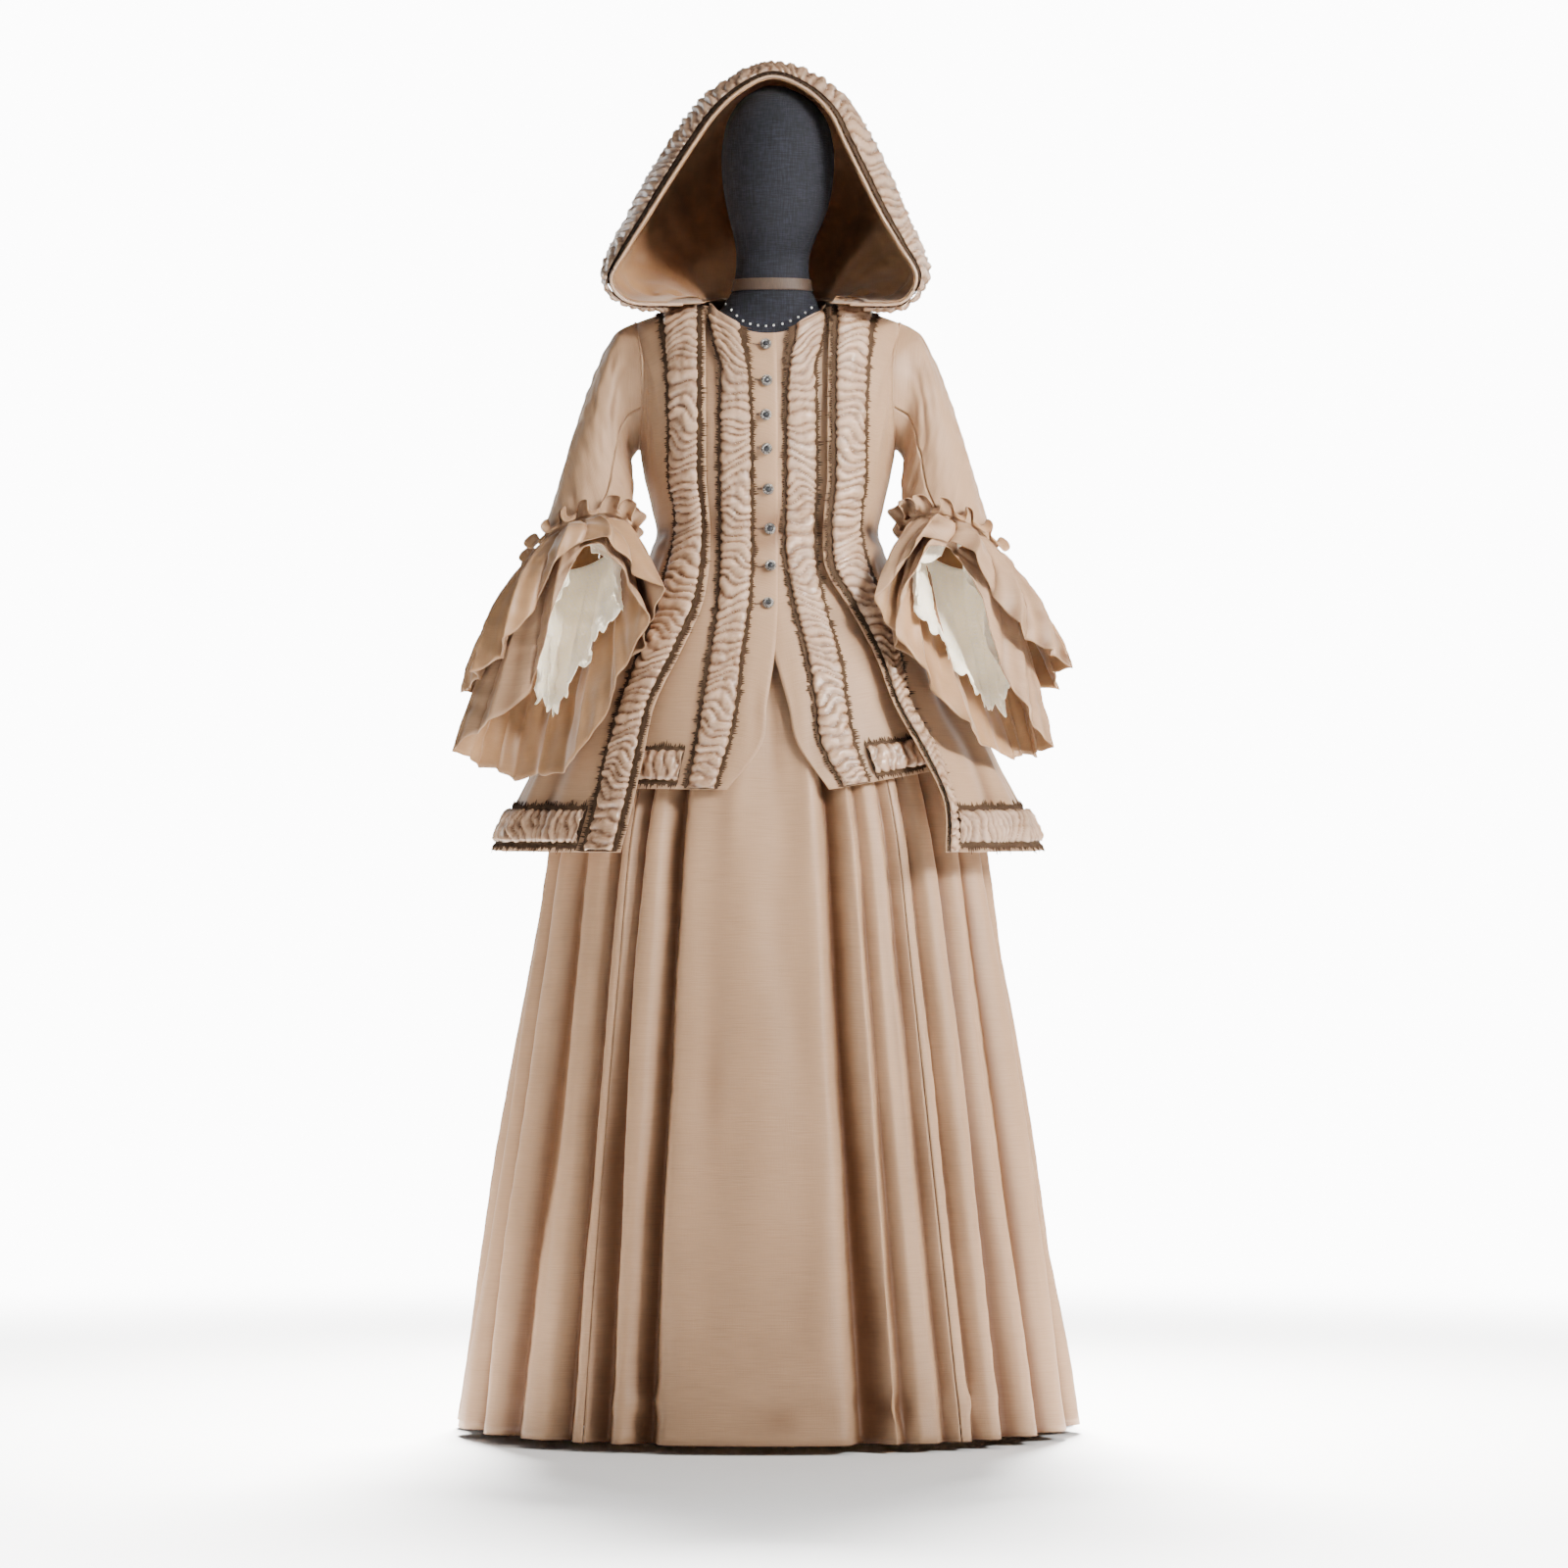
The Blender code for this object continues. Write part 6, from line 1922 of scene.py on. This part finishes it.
HOOD_LINING_IN, HOOD_BAND_LIFT, PIPING_RADIUS = 2.8, 0.4, 2.1
HOOD_FLARE = (0.0, 15.0, 10.0, 4.0, 0.0, 0.0)

# Folds of the hood: column from the left of the neck over the peak to the right (0 to 20) times
# 30 mm, row from the rim to the neck (0 to 5) times 45 mm, turn, length, half width, depth, bow
HOOD_CREASES = (
    (90, 150, 60, 150, 12, -3.0, 8), (60, 120, 70, 140, 11, 2.8, 6), (130, 120, 84, 150, 12, 2.6, 6),
    (170, 150, 96, 150, 13, -2.6, 6), (215, 110, 80, 130, 12, 2.4, 5), (250, 150, 92, 150, 13, -2.4, 5),
    (300, 130, 90, 170, 12, 2.0, 0), (350, 150, 88, 150, 13, -2.4, -5), (385, 110, 100, 130, 12, 2.4, -5),
    (430, 150, 84, 150, 13, -2.6, -6), (470, 120, 96, 150, 12, 2.6, -6), (540, 120, 110, 140, 11, 2.8, -6),
    (510, 150, 120, 150, 12, -3.0, -8), (300, 190, 20, 130, 10, 2.0, 4), (240, 195, 8, 120, 10, -2.0, 4),
    (360, 195, -8, 120, 10, -2.0, 4),
)

# Folds of the lining where it lies slack in the lower corners: same places, a fold toward the
# head is positive
LINING_FOLDS = (
    (60, 60, 35, 150, 10, 6.0, 8), (85, 105, 50, 170, 9, -3.5, 6), (70, 150, 62, 150, 11, 6.5, 8),
    (105, 70, 18, 110, 8, 4.5, 5), (130, 130, 80, 170, 11, 4.0, -6), (45, 110, 72, 120, 9, 4.0, 4),
    (540, 60, 145, 150, 10, 6.0, -8), (515, 105, 130, 170, 9, -3.5, -6), (530, 150, 118, 150, 11, 6.5, -8),
    (495, 70, 162, 110, 8, 4.5, -5), (470, 130, 100, 170, 11, 4.0, 6), (555, 110, 108, 120, 9, 4.0, -4),
    (200, 120, 86, 150, 14, 3.5, 5), (400, 120, 94, 150, 14, 3.5, -5), (250, 80, 95, 120, 10, 3.0, 4),
)


def hood_sheet():
    """Rows from the rim to the neckline, columns from the left of the neck over the peak:
    rim + (neck - rim) v + swell sin(pi v^0.85) + the row's flare away from the opening."""
    share = np.linspace(0, 1, HOOD_COLUMNS)
    rim = np.stack([HOOD_RIM.at(axis, share) for axis in ("x", "y", "z")], 1)
    swell = np.stack([HOOD_RIM.at(axis, share) for axis in ("swell_x", "swell_y", "swell_z")], 1)
    neck = np.stack([HOOD_NECK.at(axis, share) for axis in ("x", "y", "z")], 1)
    away = (rim - hood_centre(rim)) * np.array([1.0, 0.0, 1.0])
    away /= np.linalg.norm(away, axis=1, keepdims=True)
    away *= np.clip((rim[:, 2:] - 1436) / 50, 0, 1)
    length = np.linalg.norm(neck - rim, axis=1) + np.linalg.norm(swell, axis=1)
    first = np.minimum(HOOD_BAND / length, 0.22)
    rows = []
    for number in range(HOOD_ROWS):
        v = 0 * first if number == 0 else first + (1 - first) * (number - 1) / (HOOD_ROWS - 2)
        bulge = np.sin(math.pi * v**0.85)[:, None]
        rows.append(rim + (neck - rim) * v[:, None] + swell * bulge + away * HOOD_FLARE[number])
    return Sheet(np.stack(rows), hood_centre)


def hood_fold(points, rows, columns):
    flat = 0 * points[..., 0]
    place, depth = columns[None, :] * COLUMN_STEP + flat, rows[:, None] * ROW_STEP + flat
    lift = creases(place, depth, HOOD_CREASES)
    lift += 0.9 * crumple() * soft_noise(place, depth, 60, 71)
    middle = np.clip(np.minimum(rows - 1, (rows[-1] - rows) * 1.3), 0, 1)[:, None]
    ends = np.clip(np.minimum(columns, columns[-1] - columns), 0, 1)[None, :]
    return np.clip(lift, -2.4, 3.2) * middle * ends


class COSTUME_OT_hood(bpy.types.Operator):
    """Makes the two halves of the hood, its lining, its ruched band and its piped edge"""
    bl_idname = "costume.hood"
    bl_label = "Hood"

    def execute(self, context):
        sheet = FineSheet(hood_sheet(), hood_centre, hood_fold)
        middle = HOOD_COLUMNS // 2
        for name, first, last in (("hood_left", 0, middle), ("hood_right", middle, HOOD_COLUMNS - 1)):
            add_panel(name, drawn_in(sheet.panel(first, last), HOOD_SEAM_GAP),
                      from_hood)
        add_hood_lining(sheet)
        columns = np.arange(1, HOOD_COLUMNS - 1, dtype=float)
        add_band("hood_rim_band", "hood_left_cloth", sheet, from_hood, columns, 0 * columns,
                 0.5 + 0 * columns, 1 + 0 * columns, False, HOOD_BAND_LIFT, 51)
        along = np.linspace(0.6, HOOD_COLUMNS - 1.6, 400)
        edge, inner = sheet.at(0 * along, along, 0.3), sheet.at(0.06 + 0 * along, along, 0.3)
        step = edge - inner
        edge = edge + step / np.linalg.norm(step, axis=1, keepdims=True) * 0.5
        own(tube("hood_rim_piping", edge, PIPING_RADIUS, finish("satin"), 8), "satin")
        return {"FINISHED"}


def add_hood_lining(sheet):
    """The hood's inside: its own sheet moved in, and slack in the lower corners."""
    lining = sheet.panel(1, HOOD_COLUMNS - 2)
    normal = sheet.sheet.normal[:, FINE:(HOOD_COLUMNS - 2) * FINE + 1]
    rows, steps = lining.shape[:2]
    place = (1 + np.arange(steps) / FINE)[None, :] * COLUMN_STEP + np.zeros((rows, 1))
    depth = (np.arange(rows) / FINE)[:, None] * ROW_STEP + 0 * place
    fade = np.clip(np.minimum(depth, depth.max() - depth) / 30, 0, 1)
    fade *= np.clip(np.minimum(place - COLUMN_STEP, place.max() - place) / 30, 0, 1)
    slack = np.clip(creases(place, depth, LINING_FOLDS), 0, 9) * fade
    add_panel("hood_lining", lining - normal * (HOOD_LINING_IN + slack)[..., None],
              from_hood, "lining", "lining", LINING_WALL, False,
              "lining")


# Form, ribbon, pins and stand

RIBBON_HEIGHTS, RIBBON_OUT = (1453.0, 1468.0), 1.3

# Pin heads along the form's bib: distance from the centre and height
PINS = ((-53, 1436), (-46, 1428), (-39, 1420), (-31, 1413), (-22, 1409), (-12, 1407), (-2, 1406),
        (8, 1407), (19, 1409), (29, 1413), (39, 1418), (48, 1424), (56, 1431))


def form_ring(height, out, turns):
    """Ring of the form: an oval of its half width, with one depth in front and one behind."""
    half = FORM.at("half_width", height) + out
    depth = np.where(np.cos(turns) > 0, FORM.at("front", height), FORM.at("back", height)) + out
    return np.stack([FORM.at("shift", height) + half * np.sin(turns), -depth * np.cos(turns),
                     height + 0 * turns], -1)


class COSTUME_OT_form(bpy.types.Operator):
    """Makes the covered dress form with its neck ribbon, pins, pole and base"""
    bl_idname = "costume.form"
    bl_label = "Dress form"

    def execute(self, context):
        turns = np.radians(np.arange(0, 360, 4.0))
        heights = FORM.rows[:, 0]
        fine = np.interp(np.linspace(0, len(heights) - 1, 130), np.arange(len(heights)), heights)
        rings = np.stack([form_ring(height, 0.0, turns) for height in fine])
        tuck = np.exp(-((fine - 1519) / 7) ** 2)[:, None] * np.cos(turns * 26)[None, :] * 0.9
        rings[..., :2] *= 1 + tuck[..., None] * 0.012
        rows, sides = rings.shape[:2]
        points = np.concatenate([rings.reshape(-1, 3), [[0, 0, fine[0]], [8, 0, fine[-1] + 0.6]]])
        faces = grid_quads(rows, sides, True, False).tolist()
        first = np.arange(sides)
        count = rows * sides
        faces += [(count, b, a) for a, b in zip(first, np.roll(first, -1))]
        last = first + count - sides
        faces += [(count + 1, a, b) for a, b in zip(last, np.roll(last, -1))]
        own(make_mesh("form_cloth", points * MM, faces, [finish("dark_cloth")]),
            "dark_cloth", "dress_form")
        band = np.stack([form_ring(height, RIBBON_OUT, turns)
                         for height in np.linspace(*RIBBON_HEIGHTS, 10)])
        ribbon = wall("neck_ribbon_band", band, TAPE_WALL, from_axis, finish("ribbon"),
                      finish("ribbon"), closed=True)
        declare_cloth(band, closed=True)
        own(ribbon, "ribbon", "neck_ribbon")
        add_pins()
        for name in ("stand_pole", "stand_base"):
            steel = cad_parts[name]
            steel.data.materials.clear()
            steel.data.materials.append(finish("painted_steel"))
        return {"FINISHED"}


def add_pins():
    """Round pin heads set in a line along the bib, half sunk in its cloth."""
    ball = np.radians(np.linspace(0, 180, 9))
    profile = [(1.5 * math.sin(a), 1.5 * math.cos(a)) for a in ball]
    for number, (x, height) in enumerate(PINS, 1):
        half = FORM.at("half_width", height)
        share = np.clip((x - FORM.at("shift", height)) / half, -1, 1)
        y = -(FORM.at("front", height) + 0.9) * math.sqrt(1 - float(share) ** 2)
        own(lathe(f"pin_{number}", profile, 14, finish("pin_head"), None, (x, y, height)),
            "button")


# Stage

PAPER_REACH, PAPER_POINTS = 6.0, 12
ROOM_SEEN = 12.0
ROOM_LIGHT = 0.11
FIGURE = (0, 0, 0.95)
LAMP_COLOUR = (1.0, 0.985, 0.96)
VIEW_PLACE, VIEW_LENS, VIEW_WIDTH, VIEW_FAR = (0.021, -10, 0.825), 180, 36, 60

# Soft lamps: name, place, what they face, size in metres, watts and spread in degrees
LAMPS = (
    ("key", (3.9, -2.9, 2.8), FIGURE, 1.0, 330, 180),
    ("upper", (2.9, -3.4, 3.2), (0.34, 0, 1.2), 0.9, 9, 20),
    ("fill", (-3.6, -3.8, 1.9), FIGURE, 2.4, 18, 180),
    ("face", (-2.2, -5.0, 2.0), (0.1, 0, 1.5), 0.8, 0.7, 16),
    ("top", (0.5, -0.9, 4.4), FIGURE, 1.6, 46, 180),
    ("back_left", (-3.0, 4.4, 2.2), FIGURE, 2.6, 60, 180),
    ("back_right", (3.0, 4.4, 2.2), FIGURE, 2.6, 60, 180),
    ("floor", (0, 2.3, 3.5), (0, -0.7, 0), 1.4, 560, 80),
)


def make_sky():
    """A white room: the camera sees it as plain white, and it lights the clothes faintly."""
    world = bpy.data.worlds.new("studio")
    world.use_nodes = True
    tree = world.node_tree
    room = tree.nodes["Background"]
    room.inputs["Color"].default_value = (1, 1, 1, 1)
    ray = tree.nodes.new("ShaderNodeLightPath")
    strength = tree.nodes.new("ShaderNodeMath")
    strength.operation = "MULTIPLY_ADD"
    strength.inputs[1].default_value = ROOM_SEEN - ROOM_LIGHT
    strength.inputs[2].default_value = ROOM_LIGHT
    tree.links.new(ray.outputs["Is Camera Ray"], strength.inputs[0])
    tree.links.new(strength.outputs[0], room.inputs["Strength"])
    return world


def add_paper():
    """The paper floor, flat and square."""
    across = np.linspace(-PAPER_REACH, PAPER_REACH, PAPER_POINTS)
    x, y = np.meshgrid(across, across)
    points = np.stack([x, y, 0 * x], -1).reshape(-1, 3)
    quads = grid_quads(PAPER_POINTS, PAPER_POINTS, False, False).tolist()
    paper = make_mesh("paper_floor", points, quads, [finish("paper")])
    return paper


def add_lamps(paper):
    """The soft lamps. The one named floor lights nothing but the paper."""
    paper_only = bpy.data.collections.new("paper_only")
    paper_only.objects.link(paper)
    for name, place, target, size, power, spread in LAMPS:
        lamp = bpy.data.lights.new(name, "AREA")
        lamp.shape, lamp.size, lamp.energy = "DISK", size, power
        lamp.spread, lamp.color = math.radians(spread), LAMP_COLOUR
        thing = bpy.data.objects.new(name, lamp)
        thing.location = place
        aim = np.array(target) - np.array(place)
        thing.rotation_euler = (math.atan2(math.hypot(aim[0], aim[1]), -aim[2]), 0,
                                math.atan2(aim[1], aim[0]) - math.pi / 2)
        bpy.context.scene.collection.objects.link(thing)
        if name == "floor":
            thing.light_linking.receiver_collection = paper_only


def add_camera():
    """A long lens, level and square to the front."""
    lens = bpy.data.cameras.new("view")
    lens.lens, lens.sensor_width, lens.clip_end = VIEW_LENS, VIEW_WIDTH, VIEW_FAR
    camera = bpy.data.objects.new("view", lens)
    camera.location, camera.rotation_euler = VIEW_PLACE, (math.pi / 2, 0, 0)
    bpy.context.scene.collection.objects.link(camera)
    bpy.context.scene.camera = camera


class COSTUME_OT_stage(bpy.types.Operator):
    """Makes the paper floor, the soft lights and the camera"""
    bl_idname = "costume.stage"
    bl_label = "Stage"

    def execute(self, context):
        add_lamps(add_paper())
        bpy.context.scene.world = make_sky()
        add_camera()
        return {"FINISHED"}


class COSTUME_PT_panel(bpy.types.Panel):
    """Lists the ensemble's pieces and its colours"""
    bl_idname = "COSTUME_PT_panel"
    bl_label = "Hooded ensemble"
    bl_space_type = "VIEW_3D"
    bl_region_type = "UI"
    bl_category = "Costume"

    def draw(self, context):
        settings = context.scene.ensemble_colours
        for name in EnsembleColours.__annotations__:
            self.layout.prop(settings, name)
        for operator in OPERATORS:
            self.layout.operator(operator.bl_idname)


OPERATORS = (COSTUME_OT_form, COSTUME_OT_skirt, COSTUME_OT_waistcoat, COSTUME_OT_jacket,
             COSTUME_OT_sleeves, COSTUME_OT_hood, COSTUME_OT_stage)
CLASSES = (EnsembleColours, *OPERATORS, COSTUME_PT_panel)


def register():
    for part in CLASSES:
        bpy.utils.register_class(part)
    bpy.types.Scene.ensemble_colours = bpy.props.PointerProperty(type=EnsembleColours)


def unregister():
    del bpy.types.Scene.ensemble_colours
    for part in reversed(CLASSES):
        bpy.utils.unregister_class(part)


def main():
    register()
    bpy.ops.costume.form()
    bpy.ops.costume.skirt()
    bpy.ops.costume.waistcoat()
    bpy.ops.costume.jacket()
    bpy.ops.costume.sleeves()
    bpy.ops.costume.hood()
    bpy.ops.costume.stage()


if __name__ == "__main__":
    main()
